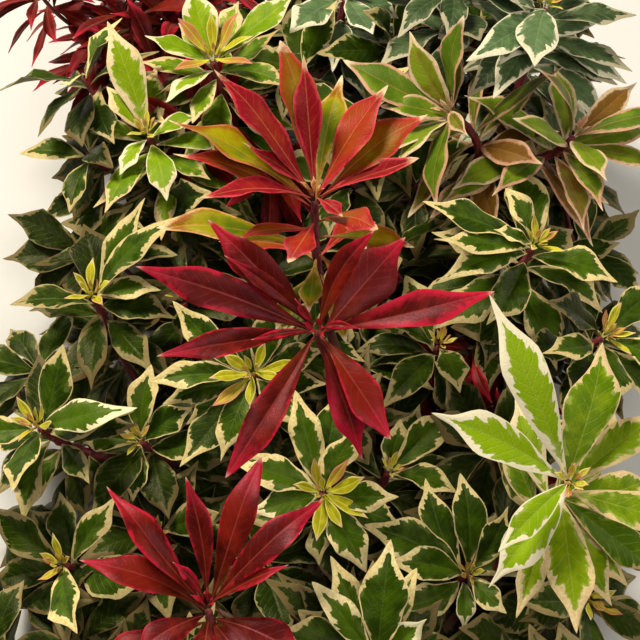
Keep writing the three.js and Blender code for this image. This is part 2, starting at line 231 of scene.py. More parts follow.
# drop in tint that darkens a shoot's lower leaves: partly real age, partly painted shade
# more painted shade for the whorls in the shaded left of the branch, listed here, and for the inner twigs
SHADED_WHORL_FADE = {"cream_high_side": 0.5, "cream_low_side": 0.45, "cream_inner_left": 0.45}
AGE_AND_SHADE_FADE, INNER_AGE_AND_SHADE_FADE = 0.2, 0.4

# Outline: a and b set how the blade swells from its foot and narrows to its point, pinch draws the
# point out, width is a share of the length. arch bends the midrib, fold lifts the two halves, wave
# ruffles the margin.
Kind = namedtuple("Kind", "a b pinch width arch fold wave")
KINDS = {
    "burgundy": Kind(1.7, 0.95, 0.5, 0.24, 0.07, 16, 1.3),
    "turning": Kind(2.0, 0.9, 0.65, 0.27, 0.05, 15, 2.4),
    "cream": Kind(1.3, 0.9, 0.55, 0.42, 0.06, 17, 2.6),
    "fresh": Kind(1.3, 0.9, 0.6, 0.31, 0.05, 12, 1.6),
    "grey": Kind(1.3, 0.9, 0.5, 0.38, 0.06, 14, 1.8),
    "olive": Kind(1.2, 0.9, 0.55, 0.31, 0.05, 12, 1.4),
    "young": Kind(1.3, 1.0, 0.3, 0.3, -0.05, 18, 0.4),
}
VARIEGATED = ("cream", "fresh", "grey")


# ---------------------------------------------------------------- small helpers


def unit(v):
    """The vectors at length 1."""
    return v / np.linalg.norm(v, axis=-1, keepdims=True)


def smooth(x, low, high):
    """0 under low, 1 over high, and 3t² - 2t³ between."""
    t = np.clip((x - low) / (high - low), 0, 1)
    return t * t * (3 - 2 * t)


def ripple(x, seeds, octaves=3):
    """A smooth uneven line for each seed: sines with golden-ratio frequencies, each weaker than the last."""
    total = 0
    for k in range(octaves):
        phase = seeds * (12.9 + 7.7 * k)
        total = total + np.sin(x * GOLDEN_RATIO**k + phase) / (1 + k)
    return total / 1.8


def lean_vector(bearing, tilt):
    """Unit vector: sine of the tilt along the compass bearing, cosine of the tilt upwards."""
    b, t = math.radians(bearing), math.radians(tilt)
    return np.array([math.sin(t) * math.sin(b), math.sin(t) * math.cos(b), math.cos(t)])


def shoot_frame(axis):
    """Right-hand side and far side of a shoot: +X made square to its axis, and axis × that."""
    across = unit(np.array([1.0, 0, 0]) - axis[0] * axis)
    return across, np.cross(axis, across)


# ---------------------------------------------------------------- limbs as curves

# distance and radius belong to the points, foot and tip are the radius at each end without the collar
Limb = namedtuple("Limb", "points distance radius foot tip")


def measured(points, foot, tip, collar):
    """A limb from points along it: the distance of each from the foot, and its radius there.

    The radius falls evenly from foot to tip, plus a collar that fades as e^(-t / reach) over the foot.
    """
    distance = np.concatenate([[0], np.cumsum(np.linalg.norm(np.diff(points, axis=0), axis=1))])
    t = distance / distance[-1]
    radius = foot + (tip - foot) * t + foot * collar * np.exp(-t / COLLAR_REACH)
    return Limb(points, distance, radius, foot, tip)


def cubic(start, leave, arrive, end, steps):
    """Bézier curve from start to end that sets out towards leave and comes in from arrive."""
    t = np.linspace(0, 1, steps)[:, None]
    return start * (1 - t) ** 3 + 3 * leave * t * (1 - t) ** 2 + 3 * arrive * t**2 * (1 - t) + end * t**3


def through(places, steps=60):
    """Centripetal Catmull-Rom curve through the places.

    Between two places it is the cubic whose tangents come from knots spaced by the root of the distance.
    """
    padded = np.vstack([2 * places[0] - places[1], places, 2 * places[-1] - places[-2]])
    t = np.linspace(0, 1, steps, endpoint=False)[:, None]
    parts = []
    for p0, p1, p2, p3 in zip(padded, padded[1:], padded[2:], padded[3:]):
        d0, d1, d2 = (np.sqrt(np.linalg.norm(b - a)) for a, b in ((p0, p1), (p1, p2), (p2, p3)))
        m1 = ((p1 - p0) / d0 - (p2 - p0) / (d0 + d1) + (p2 - p1) / d1) * d1
        m2 = ((p2 - p1) / d1 - (p3 - p1) / (d1 + d2) + (p3 - p2) / d2) * d1
        square, cube = 3 * (p2 - p1) - 2 * m1 - m2, 2 * (p1 - p2) + m1 + m2
        parts.append(p1 + m1 * t + square * t**2 + cube * t**3)
    return np.vstack(parts + [places[-1]])


def along(limb, distance):
    """Point, direction and radius at a distance from the limb's foot."""
    distance = np.clip(distance, 0, limb.distance[-1])
    point = np.array([np.interp(distance, limb.distance, limb.points[:, k]) for k in range(3)]).T
    tangents = unit(np.gradient(limb.points, axis=0))
    toward = unit(np.array([np.interp(distance, limb.distance, tangents[:, k]) for k in range(3)]).T)
    return point, toward, np.interp(distance, limb.distance, limb.radius)


def stem_limb():
    """The main stem, from its cut end to just under the heart of its last whorl."""
    tip = SHOOTS["tip_far"]
    end = np.array(tip.heart) - END_BELOW_HEART * lean_vector(*tip.lean)
    return measured(through(np.vstack([STEM_PATH, end])), STEM_FOOT, STEM_TIP, 0)


def side_limb(parent, shoot, foot):
    """A limb that leaves its parent half along it and half towards its own end, and arrives on its lean."""
    start, tangent, _ = along(parent, shoot.at * parent.distance[-1])
    axis = lean_vector(*shoot.lean)
    end = np.array(shoot.heart) - END_BELOW_HEART * axis
    reach = np.linalg.norm(end - start)
    flat = (end - start) * [1, 1, 0]
    leave = start + unit(unit(flat) + tangent) * LEAVE * reach
    leave[2] = max(leave[2], start[2] + CLIMB * reach)
    return measured(cubic(start, leave, end - axis * ARRIVE * reach, end, 80), foot, SHOOT_TIP, COLLAR)


limbs = {"main_stem": stem_limb()}
for name, shoot in SHOOTS.items():
    if name == "tip_far":
        limbs[name] = limbs["main_stem"]
        continue
    parent = limbs[shoot.parent]
    thick = BOUGH_FOOT * (parent.foot + (parent.tip - parent.foot) * shoot.at)
    limbs[name] = side_limb(parent, shoot, thick if shoot.parent == "main_stem" else SHOOT_FOOT)


# ---------------------------------------------------------------- meshes

FLOOR_BAND = 2.0  # leaves that would reach lower than this over the floor are laid on it
CELL_TALL, CELL_EDGE = 1.3, 0.04  # a cell's height by its width, and the share left empty along each edge
SHARP_EDGE = 62  # degrees between two faces

# faces of four and of three corners, where their corners lie on the sheet, which finish each one has,
# and the vectors that the points carry
Skin = namedtuple("Skin", "points quads fans quad_map fan_map quad_slot fan_slot marks")


def cells(count):
    """Rows and columns of a square sheet that holds one tall cell for each of the shapes."""
    columns = math.ceil(math.sqrt(count * CELL_TALL))
    return math.ceil(count / columns), columns


def skin(rings, start, end, marks, slot_of_side):
    """Closes many equal tubes: quads between neighbouring rings and a fan round the point at each end.

    rings is tubes × rings × around × 3. Each tube unrolls into its own cell of a square sheet, round
    it across the cell and along it up the cell, so no two faces share a place on the sheet.
    """
    tubes, rows, sides, _ = rings.shape
    each = rows * sides + 2
    points = np.concatenate([rings.reshape(tubes, -1, 3), start[:, None], end[:, None]], axis=1)
    first = (np.arange(tubes) * each)[:, None, None]
    i, j = np.meshgrid(np.arange(rows - 1), np.arange(sides), indexing="ij")
    k = (j + 1) % sides
    quads = np.stack([i * sides + j, i * sides + k, (i + 1) * sides + k, (i + 1) * sides + j], axis=-1)
    ring = np.arange(sides)
    after = (ring + 1) % sides
    top = (rows - 1) * sides
    foot_fan = np.stack([np.full(sides, each - 2), after, ring], axis=-1)
    tip_fan = np.stack([top + ring, top + after, np.full(sides, each - 1)], axis=-1)
    fans = np.concatenate([foot_fan, tip_fan])

    high, wide = cells(tubes)
    left = (np.arange(tubes) % wide)[:, None, None]
    low = (np.arange(tubes) // wide)[:, None, None]

    def place(x, y):
        inner = 1 - 2 * CELL_EDGE
        across, up = (left + CELL_EDGE + inner * x) / wide, (low + CELL_EDGE + inner * y) / high
        return np.stack([across, up], axis=-1)

    rise = (np.arange(rows) + 1) / (rows + 1)
    x = np.stack([j, j + 1, j + 1, j], axis=-1).reshape(-1, 4) / sides
    y = np.stack([rise[i], rise[i], rise[i + 1], rise[i + 1]], axis=-1).reshape(-1, 4)
    fan_x = [np.stack(corners, axis=-1) / sides for corners in (
        (ring + 0.5, ring + 1, ring), (ring, ring + 1, ring + 0.5))]
    fan_y = [np.tile(heights, (sides, 1)) for heights in ([0, rise[0], rise[0]], [rise[-1], rise[-1], 1])]
    fan_x, fan_y = np.concatenate(fan_x), np.concatenate(fan_y)
    return Skin(
        points.reshape(-1, 3),
        (first + quads.reshape(1, -1, 4)).reshape(-1, 4),
        (first + fans[None]).reshape(-1, 3),
        place(x[None], y[None]).reshape(-1, 2),
        place(fan_x[None], fan_y[None]).reshape(-1, 2),
        np.tile(slot_of_side[j.ravel()], tubes),
        np.tile(slot_of_side[np.concatenate([ring, ring])], tubes),
        {key: value.reshape(-1, 3) for key, value in marks.items()},
    )


def laid_out(skins):
    """Several skins as one. Each keeps a cell of the sheet, and its faces count on from the points before."""
    high, wide = cells(len(skins))
    size = np.array([wide, high])
    moved, first = [], 0
    for k, s in enumerate(skins):
        corner = np.array([k % wide, k // wide])
        moved.append(s._replace(quads=s.quads + first, fans=s.fans + first,
                                quad_map=(s.quad_map + corner) / size, fan_map=(s.fan_map + corner) / size))
        first += len(s.points)
    joined = [np.concatenate([getattr(s, field) for s in moved]) for field in Skin._fields[:-1]]
    return Skin(*joined, {key: np.concatenate([s.marks[key] for s in moved]) for key in moved[0].marks})


def put(name, data):
    """An object at the origin that shows this mesh, lamp or camera."""
    made = bpy.data.objects.new(name, data)
    bpy.context.scene.collection.objects.link(made)
    return made


def piece(name, s, materials, nodes):
    """Puts a skin into the scene as one piece on the branch, standing for CAD nodes.

    What would sink under the floor is laid on it: below the band b over it, heights become
    b·e^((z - b) / b).
    """
    mesh = bpy.data.meshes.new(name)
    low = s.points[:, 2]
    s.points[:, 2] = np.where(low < FLOOR_BAND, FLOOR_BAND * np.exp((low - FLOOR_BAND) / FLOOR_BAND), low)
    places = (s.points + PLAN_SHIFT) * MM
    mesh.from_pydata(places.tolist(), [], s.quads.tolist() + s.fans.tolist())
    for material in materials:
        mesh.materials.append(material)
    mesh.polygons.foreach_set("material_index", np.concatenate([s.quad_slot, s.fan_slot]).astype(np.int32))
    sheet = mesh.uv_layers.new(name="OFBake")
    sheet.data.foreach_set("uv", np.concatenate([s.quad_map, s.fan_map]).astype(np.float32).ravel())
    for key, values in s.marks.items():
        mark = mesh.attributes.new(key, "FLOAT_VECTOR", "POINT")
        mark.data.foreach_set("vector", values.astype(np.float32).ravel())
    mesh.shade_smooth()
    mesh.set_sharp_from_angle(angle=math.radians(SHARP_EDGE))
    made = put(name, mesh)
    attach(made, "root")
    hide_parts(*nodes)


# ---------------------------------------------------------------- leaves

ACROSS_TOP = np.array([1, 0.76, 0.45, 0.12, 0, -0.12, -0.45, -0.76, -1])
ACROSS = np.concatenate([ACROSS_TOP, -ACROSS_TOP[1:-1]])  # once round a blade: over its face, back under it
UPPER = np.arange(len(ACROSS)) < len(ACROSS_TOP)
SIDE_SLOT = (np.arange(len(ACROSS)) >= len(ACROSS_TOP) - 1).astype(int)  # upper finish, then lower
RING_SPAN, RING_POWER = (0.16, 0.975), 0.9  # rings are spaced by a cosine, closer at the foot and point
POINT_DRAWN, POINT_CURLED = (0.64, 0.9), (0.55, 1.0)  # shares of the length over which these come in
STALK_WIDE, STALK_SHARE, STALK_FADE = 0.85, 0.09, 0.2
BLADE_THICK, STALK_THICK, STALK_REACH = 0.42, 1.0, 0.05
RIB_DEPTH, RIB_WIDTH, GROOVE = 0.5, 0.6, 0.18
ARCH_SHAPE, MARGIN_CURL, TWIST_FROM = 0.85, 0.12, 0.4
FOLD_AT_FOOT, FOLD_LOSS = 1.2, 0.5  # the fold opens towards the point
RUFFLE, RUFFLE_TURNS, WAVE_TURNS, WAVE_HALF = 0.04, 11, 10, 8
STALK_OUT = 1.2  # from the middle of the shoot to a leaf's foot
OWN_STEP = 9  # keeps the patterns of two leaves apart
PLACED_RINGS, GROWN_RINGS, TIP_RINGS, INNER_RINGS = 26, 18, 12, 11

LEAF_VALUES = "length width a b pinch arch fold roll twist bend curl skew wave tint seed"
LEAF = np.dtype([(field, float, 3) for field in ("base", "toward", "up")]
                + [(field, float) for field in LEAF_VALUES.split()])


def blade_outline(u, leaf):
    """Half-width: (u / m)^a · ((1 - u) / (1 - m))^b, widest at m = a / (a + b).

    It is drawn in over the last third, and never narrower than the stalk.
    """
    a, b = leaf["a"][:, None], leaf["b"][:, None]
    m = a / (a + b)
    swell = (u / m) ** a * ((1 - u) / (1 - m)) ** b
    drawn = 1 - leaf["pinch"][:, None] * smooth(u, *POINT_DRAWN)
    stalk = np.minimum(STALK_WIDE, leaf["width"][:, None] * STALK_SHARE) * np.exp(-u / STALK_FADE)
    half = leaf["width"][:, None] / 2 * swell * drawn
    return np.sqrt(half**2 + stalk**2) + 0.1 * (1 - u)


def blades(leaf, rings):
    """Closed blades of that many rings. The midrib is a chord bent by arch·sin(πu^0.85) and sideways.

    The point of the leaf curls by curl·smooth², and each side swells a little earlier or later by
    skew. Each half of the section rises by sin(fold) of its width and curls down by its cube, the margin
    ruffles by a sine, the whole turns about the midrib by roll + twist·(u - 0.4), and the upper and
    lower faces stand apart by a lens that is thick at the stalk. The rib shows below, a groove above.
    """
    u = (1 - np.cos(np.linspace(*RING_SPAN, rings) ** RING_POWER * math.pi)) / 2
    u = u[None, :]
    one = leaf["length"][:, None]
    sideways = unit(np.cross(leaf["up"], leaf["toward"]))

    def spine(u):
        lift = leaf["arch"][:, None] * one * np.sin(math.pi * u**ARCH_SHAPE)
        lift = lift + leaf["curl"][:, None] * one * smooth(u, *POINT_CURLED) ** 2
        sway = leaf["bend"][:, None] * one * np.sin(math.pi * u)
        return (
            leaf["base"][:, None] + leaf["toward"][:, None] * (one * u)[..., None]
            + leaf["up"][:, None] * lift[..., None] + sideways[:, None] * sway[..., None]
        )

    step = 0.01
    path = spine(u)
    tangent = unit(spine(np.minimum(u + step, 1)) - spine(np.maximum(u - step, 0)))
    side = unit(np.cross(leaf["up"][:, None], tangent))
    normal = np.cross(tangent, side)
    turn = np.radians(leaf["roll"][:, None] + leaf["twist"][:, None] * (u - TWIST_FROM))[..., None]
    side, normal = side * np.cos(turn) + normal * np.sin(turn), normal * np.cos(turn) - side * np.sin(turn)

    seed = leaf["seed"][:, None]
    half = blade_outline(u, leaf)
    skew = leaf["skew"][:, None]
    ruffle = RUFFLE * leaf["wave"][:, None] * smooth(u, 0.1, 0.4)
    right = blade_outline(u ** (1 + skew), leaf) * (1 + ruffle * ripple(u * RUFFLE_TURNS, seed))
    left = blade_outline(u ** (1 - skew), leaf) * (1 + ruffle * ripple(u * RUFFLE_TURNS, seed + 3.3))
    v = ACROSS[None, None]
    width = np.where(v > 0, right[..., None], left[..., None])
    lifted = np.radians(leaf["fold"][:, None] * (FOLD_AT_FOOT - FOLD_LOSS * u))[..., None]
    far = np.abs(v)
    x = width * v * np.cos(lifted)
    swing = ripple(u[..., None] * WAVE_TURNS + np.sign(v) * 2.1, seed[..., None] + np.sign(v), 2)
    swing = leaf["wave"][:, None, None] * swing * far**2
    ruffled = swing * np.sin(math.pi * u)[..., None] * (half / WAVE_HALF)[..., None]
    h = width * far * np.sin(lifted) - MARGIN_CURL * width * far**3 + ruffled
    thick = BLADE_THICK + STALK_THICK * np.exp(-u / STALK_REACH)
    thick = np.minimum(thick, half * 1.8)[..., None]
    lens = thick / 2 * np.sqrt(np.maximum(1 - v**2, 0))
    ridge = np.exp(-((x / RIB_WIDTH) ** 2)) * (1 - u[..., None]) * smooth(u, 0.02, 0.12)[..., None]
    h = h + np.where(UPPER, lens - GROOVE * ridge, -lens - RIB_DEPTH * ridge)
    section = path[:, :, None] + side[:, :, None] * x[..., None] + normal[:, :, None] * h[..., None]

    start, end = spine(np.zeros((1, 1)))[:, 0], spine(np.ones((1, 1)))[:, 0]
    room = np.minimum((1 - far) * half[..., None], (1.002 - u[..., None]) * one[..., None] * 0.6)

    def marked(grid, at_foot, at_point):
        """Three values for each point of the blades: over the rings, then at the foot and the point."""
        over = np.stack([np.broadcast_to(values, room.shape) for values in grid], axis=-1)
        ends = [np.stack(np.broadcast_arrays(*values), axis=-1) for values in (at_foot, at_point)]
        return np.concatenate([over.reshape(len(leaf), -1, 3), np.stack(ends, axis=1)], axis=1)

    length, tint, own = leaf["length"], leaf["tint"], leaf["seed"] * OWN_STEP
    place = (u * one)[..., None], width * v, own[:, None, None]
    mark = room, u[..., None], tint[:, None, None]
    marks = {
        "leaf_place": marked(place, (0, 0, own), (length, 0, own)),
        "leaf_mark": marked(mark, (0, 0, tint), (0, 1, tint)),
    }
    return skin(section, start, end, marks, SIDE_SLOT)


# where leaves grow: a limb's heart and axis, the limb itself, and its leaf, rise and skirt as in Shoot
Whorl = namedtuple("Whorl", "heart axis limb leaf rise skirt")


# how far a leaf strays from its kind, as shares, and from straight, as mean and spread
STRAY = {"a": (0.88, 1.12), "b": (0.85, 1.15), "pinch": (0.7, 1.25), "arch": (0.4, 1.6)}
LOOSE = {"twist": (0, 16), "bend": (0, 0.025), "curl": (-0.04, 0.05), "skew": (0, 0.09)}
STRAY_FOLD, LOOSE_ROLL = (0.5, 1.7), (0, 5)


def leaf_rows(whorl, kind_name, rows, rng):
    """Leaves of one kind on one shoot, from rows of bearing, rise, length, width, level, tint, any fold."""
    kind, axis, limb = KINDS[kind_name], whorl.axis, whorl.limb
    across, deep = shoot_frame(axis)
    leaf = np.zeros(len(rows), LEAF)
    for k, row in enumerate(rows):
        bearing, rise, length, width, level, tint, *fold = row
        if level >= -END_BELOW_HEART:
            foot = whorl.heart + level * axis
        else:
            foot = along(limb, limb.distance[-1] + level + END_BELOW_HEART)[0]
        b, r = math.radians(bearing), math.radians(rise)
        flat = across * math.cos(b) + deep * math.sin(b)
        toward = flat * math.cos(r) + axis * math.sin(r)
        up = unit(axis - axis @ toward * toward)
        leaf[k]["base"] = foot + flat * STALK_OUT
        leaf[k]["toward"], leaf[k]["up"] = toward, up
        leaf[k]["length"], leaf[k]["width"], leaf[k]["tint"] = length, width, tint
        leaf[k]["fold"] = fold[0] if fold else kind.fold * rng.uniform(*STRAY_FOLD)
        leaf[k]["roll"] = rng.normal(*LOOSE_ROLL)
    leaf["wave"] = kind.wave
    for field, shares in STRAY.items():
        leaf[field] = getattr(kind, field) * rng.uniform(*shares, len(rows))
    for field, spread in LOOSE.items():
        leaf[field] = rng.normal(*spread, len(rows))
    leaf["seed"] = rng.uniform(0, 10, len(rows))
    return leaf


def feelers(leaf):
    """Points on each leaf's outer two thirds, by which leaves keep clear of one another."""
    u = np.array([0.35, 0.5, 0.65, 0.8, 0.97])[None, :, None]
    v = np.array([-0.8, 0, 0.8])[None, None, :]
    length, width, arch = (leaf[field][:, None, None] for field in ("length", "width", "arch"))
    half = width / 2 * np.sin(math.pi * u**1.2)
    lift = arch * length * np.sin(math.pi * u**ARCH_SHAPE)
    points = leaf["base"][:, None, None] + leaf["toward"][:, None, None] * (length * u)[..., None]
    points = points + np.cross(leaf["up"], leaf["toward"])[:, None, None] * (half * v)[..., None]
    points = points + leaf["up"][:, None, None] * lift[..., None]
    return points.reshape(len(leaf), -1, 3)


# a grown leaf's tint, as mean and spread: its youth, or its place between crimson and lime
YOUTH = {"burgundy": (0.35, 0.2), "turning": (0.9, 0.2), "cream": (0.46, 0.16), "fresh": (0.58, 0.2),
         "grey": (0.5, 0.2), "olive": (0.95, 0.2)}
AGED_AND_SHADED_TO_FRESH = (10, 85)  # heights over which a variegated leaf's tint rises: lower leaves darker, partly age, partly painted shade
TOP_LEVEL, TOP_RISE, RISE_FALL = -1.5, 12, 38  # of a shoot's grown leaves, from the first to the last
GROWN_LENGTH, GROWN_WIDTH, SHORTER = (0.8, 1.06), (0.86, 1.14), 0.12  # shares, and what the last loses
TRIES, TRY_BEARING, TRY_RISE = 7, 26, 7
UNEVEN = 40  # degrees by which a leaf may run ahead of its turn
NEAR = 1.6  # leaf lengths within which other leaves count
RING_APART = 20  # millimetres of skirt for each further ring of leaves
UNDER_FLOOR = 0.4  # what a millimetre under the floor costs, in millimetres of gap


def grown(whorl, kind_name, count, already, taken, rng, fade, bare=(0, 0)):
    """A shoot's other leaves. Each follows the last by the golden angle, lower and flatter.

    Of several tries with the bearing and rise a little changed, the one furthest from every leaf already
    there is kept. The bearings between the two of bare stay open. Low leaves are darker: partly older, partly
    painted shade.
    """
    kind = KINDS[kind_name]
    kept = []
    for k in range(count):
        share = (k + already) / max(1, count + already)
        level = TOP_LEVEL - whorl.skirt * share**1.15
        rise = whorl.rise * (1 - share) + TOP_RISE - RISE_FALL * share
        length = whorl.leaf * rng.uniform(*GROWN_LENGTH) * (1 - SHORTER * share)
        width = length * kind.width * rng.uniform(*GROWN_WIDTH)
        # lower leaves drop in tint by the fade and, when variegated, by height: partly age, partly painted
        # shade
        tint = np.clip(rng.normal(*YOUTH[kind_name]) - fade * (0.3 + share), 0, 1)
        if kind_name in VARIEGATED:
            tint *= smooth(whorl.heart[2] + level, *AGED_AND_SHADED_TO_FRESH)
        bearing = GOLDEN_ANGLE * (k + already) + UNEVEN * rng.random()
        start, end = bare
        turns = end + (bearing + rng.normal(0, TRY_BEARING, TRIES) - end) % 360 * (360 - end + start) / 360
        rows = [(turn, rise + rng.normal(0, TRY_RISE), length, width, level, tint) for turn in turns]
        offered = leaf_rows(whorl, kind_name, rows, rng)
        points = feelers(offered)
        near = taken[np.linalg.norm(taken - points.mean(axis=(0, 1)), axis=1) < NEAR * whorl.leaf]
        gap = np.ones(TRIES)
        if len(near):
            gap = np.linalg.norm(points[:, :, None] - near[None, None], axis=-1).min(axis=(1, 2))
        low = points[..., 2].min(axis=1)
        best = int(np.argmax(gap + np.minimum(low, 0) * UNDER_FLOOR))
        kept.append(offered[best:best + 1])
        taken = np.concatenate([taken, points[best]])
    return (np.concatenate(kept) if kept else np.zeros(0, LEAF)), taken


# Young leaves round a heart and the smaller ones over them: how many, how far round the first stands,
# its rise, length, width and level with their steps from one leaf to the next, and the least tint.
Ring = namedtuple("Ring", "count ahead rise length width level tint")
HEART_RING = Ring(6, 0, (34, 4), (18, -1.4), (5.2, -0.3), (0.6, 0.2), 0)
BUD_RING = Ring(5, 70, (62, 4), (8.5, -1), (2.6, -0.15), (1, 0.3), 0.3)
HEART_SIZE, SMALL_HEART = (0.45, 0.95), 0.5


def ring_rows(ring, turn, size, rng):
    """The rows of a ring's leaves, each turned from the last by the golden angle."""
    rows = []
    for k in range(ring.count):
        rise, length, width, level = (first + step * k for first, step in ring[2:6])
        bearing = turn + ring.ahead + GOLDEN_ANGLE * k
        rows.append((bearing, rise, length * size, width * size, level, rng.uniform(ring.tint, 1)))
    return rows


def young_rows(name, rng):
    """Small upright leaves round the growing point, and a few smaller ones that close over it."""
    rows = list(YOUNG.get(name, ()))
    turn = rng.uniform(0, 360)
    if not rows and SHOOTS[name].kind in VARIEGATED:
        size = rng.uniform(*HEART_SIZE) * (SMALL_HEART if name in SMALL_HEARTS else 1)
        rows += ring_rows(HEART_RING, turn, size, rng)
    return rows + ring_rows(BUD_RING, turn, 1, rng)


TWIGS, TWIG_LEAVES, TWIG_LEAF, TWIG_RISE, TWIG_SKIRT = 88, 11, (33, 43), 14, 16
TWIG_FOOT, TWIG_TIP, TWIG_REACH = 1.3, 0.9, (14, 62)
TWIG_SPACING, TWIG_OFFERS, TWIG_PLACES = 7, 14, (0.1, 0.95)  # along a limb, twigs offered, and where
TWIG_CLIMB, TWIG_LEAN = (0.15, 1.0), (0.25, 0.8)
TWIG_FLOOR, TWIG_OUT = 12, (130, 190)  # lowest heart, and the furthest out to the side and along
CROWN_OVER, CROWN_SLOPE, CROWN_REACH = 16, 0.5, 46  # the whorls' roof over the inner twigs
TWIG_METRIC = np.array([1, 1, 0.55])  # height counts for less when the twigs are spread out
# hearts of twigs that close the last holes
FILLED = [
    (-99, 100, 50), (-92, 128, 44), (-106, 72, 40), (-16, 198, 60), (-50, 200, 62), (-78, 206, 58),
    (76, 188, 74), (73, -42, 36), (84, -60, 30), (108, 16, 42), (110, 98, 56), (118, 68, 50),
    (-84, 178, 70), (-66, 198, 72), (104, 156, 74), (70, -38, 60), (-14, 190, 66), (-44, 204, 70),
    (14, 24, 34), (18, 10, 46), (66, 20, 44), (50, 190, 52), (76, 192, 50), (68, 156, 46),
    (94, 164, 46), (-80, 186, 48), (-68, 164, 44), (-42, 180, 46), (-94, 192, 40), (-86, 172, 42),
    (-50, 196, 42), (-24, 196, 46), (80, 196, 62), (96, 148, 36), (-88, 198, 28), (-74, 192, 26),
    (-56, 202, 30), (67, 34, 26), (50, 0, 24), (-44, 206, 40), (-100, 196, 52), (76, -28, 24),
]
RED_TWIGS = "red_far_left"  # the limb whose inner twigs bear red leaves
RED_HOLLOW, RED_REACH = (74, -4), 30  # where other inner twigs bear them too
RED_MORE = 4  # leaves a red twig has beyond the others' number


def inner_twigs(rng):
    """Side twigs that fill the crown under its whorls, each with a small whorl of its own.

    Twigs are offered at uneven places along every limb, with their hearts inside the crown. The one
    whose heart is furthest from all the others is taken, again and again, and then those of FILLED
    grow from the nearest limb.
    """
    crown = np.array([shoot.heart for shoot in SHOOTS.values()], float)
    offers = []
    for name, limb in limbs.items():
        count = int(limb.distance[-1] / TWIG_SPACING)
        for at in rng.uniform(*TWIG_PLACES, count * TWIG_OFFERS):
            start = along(limb, at * limb.distance[-1])[0]
            bearing = rng.uniform(0, 2 * math.pi)
            flat = np.array([math.sin(bearing), math.cos(bearing), 0])
            climb = rng.uniform(*TWIG_CLIMB)
            axis = unit(flat * rng.uniform(*TWIG_LEAN) + np.array([0, 0, 1.0]))
            reach = rng.uniform(*TWIG_REACH)
            heart = start + unit(flat + [0, 0, climb]) * reach
            beside = np.linalg.norm(crown[:, :2] - heart[:2], axis=1)
            roof = (crown[:, 2] + CROWN_SLOPE * beside).min() - CROWN_OVER
            outside = (np.abs(heart[:2]) > TWIG_OUT).any() or beside.min() > CROWN_REACH
            if not outside and TWIG_FLOOR < heart[2] < roof:
                offers.append((name, start, heart, axis, flat, reach))
    chosen = []
    places = np.array([offer[2] for offer in offers]) * TWIG_METRIC
    gap = np.linalg.norm(places[:, None] - crown * TWIG_METRIC, axis=-1).min(axis=1)
    for _ in range(TWIGS):
        best = int(np.argmax(gap))
        chosen.append(offers[best])
        gap = np.minimum(gap, np.linalg.norm(places - places[best], axis=1))
    for heart in np.array(FILLED, float):
        gaps = {name: np.linalg.norm(limb.points - heart, axis=1) for name, limb in limbs.items()}
        name = min(gaps, key=lambda limb_name: gaps[limb_name].min())
        start, reach = limbs[name].points[np.argmin(gaps[name])], gaps[name].min()
        flat = unit((heart - start) * [1, 1, 0])
        axis = unit(flat * 0.4 + np.array([0, 0, 1.0]))
        chosen.append((name, start, heart, axis, flat, reach))
    made = []
    for name, start, heart, axis, flat, reach in chosen:
        leave, arrive = start + flat * reach * 0.35, heart - axis * reach * 0.45
        limb = measured(cubic(start, leave, arrive, heart, 24), TWIG_FOOT, TWIG_TIP, COLLAR)
        made.append((name, Whorl(heart, axis, limb, rng.uniform(*TWIG_LEAF), TWIG_RISE, TWIG_SKIRT)))
    return made


# ---------------------------------------------------------------- shader values

MIX_UNDER, MIX_OVER, MIX_RESULT = 6, 7, 2  # the colour sockets of a Mix node


class Knot:
    """A value in one material's node tree. Sums on it add Math nodes, add() puts in any other node."""

    def __init__(self, tree, socket=None):
        self.tree = tree
        self.socket = socket

    def add(self, kind, settings=None, sockets=None, output=0):
        """A node of this kind, its settings, and its sockets by name or number, each a value or a link."""
        node = self.tree.nodes.new("ShaderNode" + kind)
        for key, value in (settings or {}).items():
            if key == "stops":
                ramp = node.color_ramp
                for at, _ in value[1:-1]:
                    ramp.elements.new(at)
                for element, (at, colour) in zip(ramp.elements, value):
                    element.position, element.color = at, (*colour, 1)
            else:
                setattr(node, key, value)
        for key, value in (sockets or {}).items():
            socket = node.inputs[key]
            if isinstance(value, Knot):
                self.tree.links.new(value.socket, socket)
            elif value is not None:
                socket.default_value = (*value, 1) if socket.type == "RGBA" and len(value) == 3 else value
        return Knot(self.tree, node.outputs[output] if len(node.outputs) else None)

    def math(self, operation, *values):
        return self.add("Math", {"operation": operation}, dict(enumerate(values)))

    def __add__(self, other):
        return self.math("ADD", self, other)

    def __sub__(self, other):
        return self.math("SUBTRACT", self, other)

    def __rsub__(self, other):
        return self.math("SUBTRACT", other, self)

    def __mul__(self, other):
        return self.math("MULTIPLY", self, other)

    def __truediv__(self, other):
        return self.math("DIVIDE", self, other)

    def __abs__(self):
        return self.math("ABSOLUTE", self)

    def sine(self):
        return self.math("SINE", self)

    def ramp(self, low, high):
        """0 under low and 1 over high, smooth between; low and high may vary too."""
        return self.add("MapRange", {"interpolation_type": "SMOOTHSTEP"}, {0: self, 1: low, 2: high})

    def blend(self, under, over):
        """The colour under where this value is 0, the colour over where it is 1."""
        return self.add("Mix", {"data_type": "RGBA"}, {0: self, MIX_UNDER: under, MIX_OVER: over}, MIX_RESULT)

    def noise(self, scale, detail=2.0, stretch=(1, 1, 1)):
        """Uneven value from about 0.2 to 0.8 over this vector."""
        vector = self.add("VectorMath", {"operation": "MULTIPLY"}, {0: self, 1: stretch})
        return vector.add("TexNoise", None, {"Vector": vector, "Scale": scale, "Detail": detail})

    def mark(self, name):
        """A vector that the mesh carries at its points."""
        return self.add("Attribute", {"attribute_name": name}, None, "Vector")

    def parts(self):
        """The three numbers of this vector."""
        return [self.add("SeparateXYZ", None, {0: self}, k) for k in range(3)]


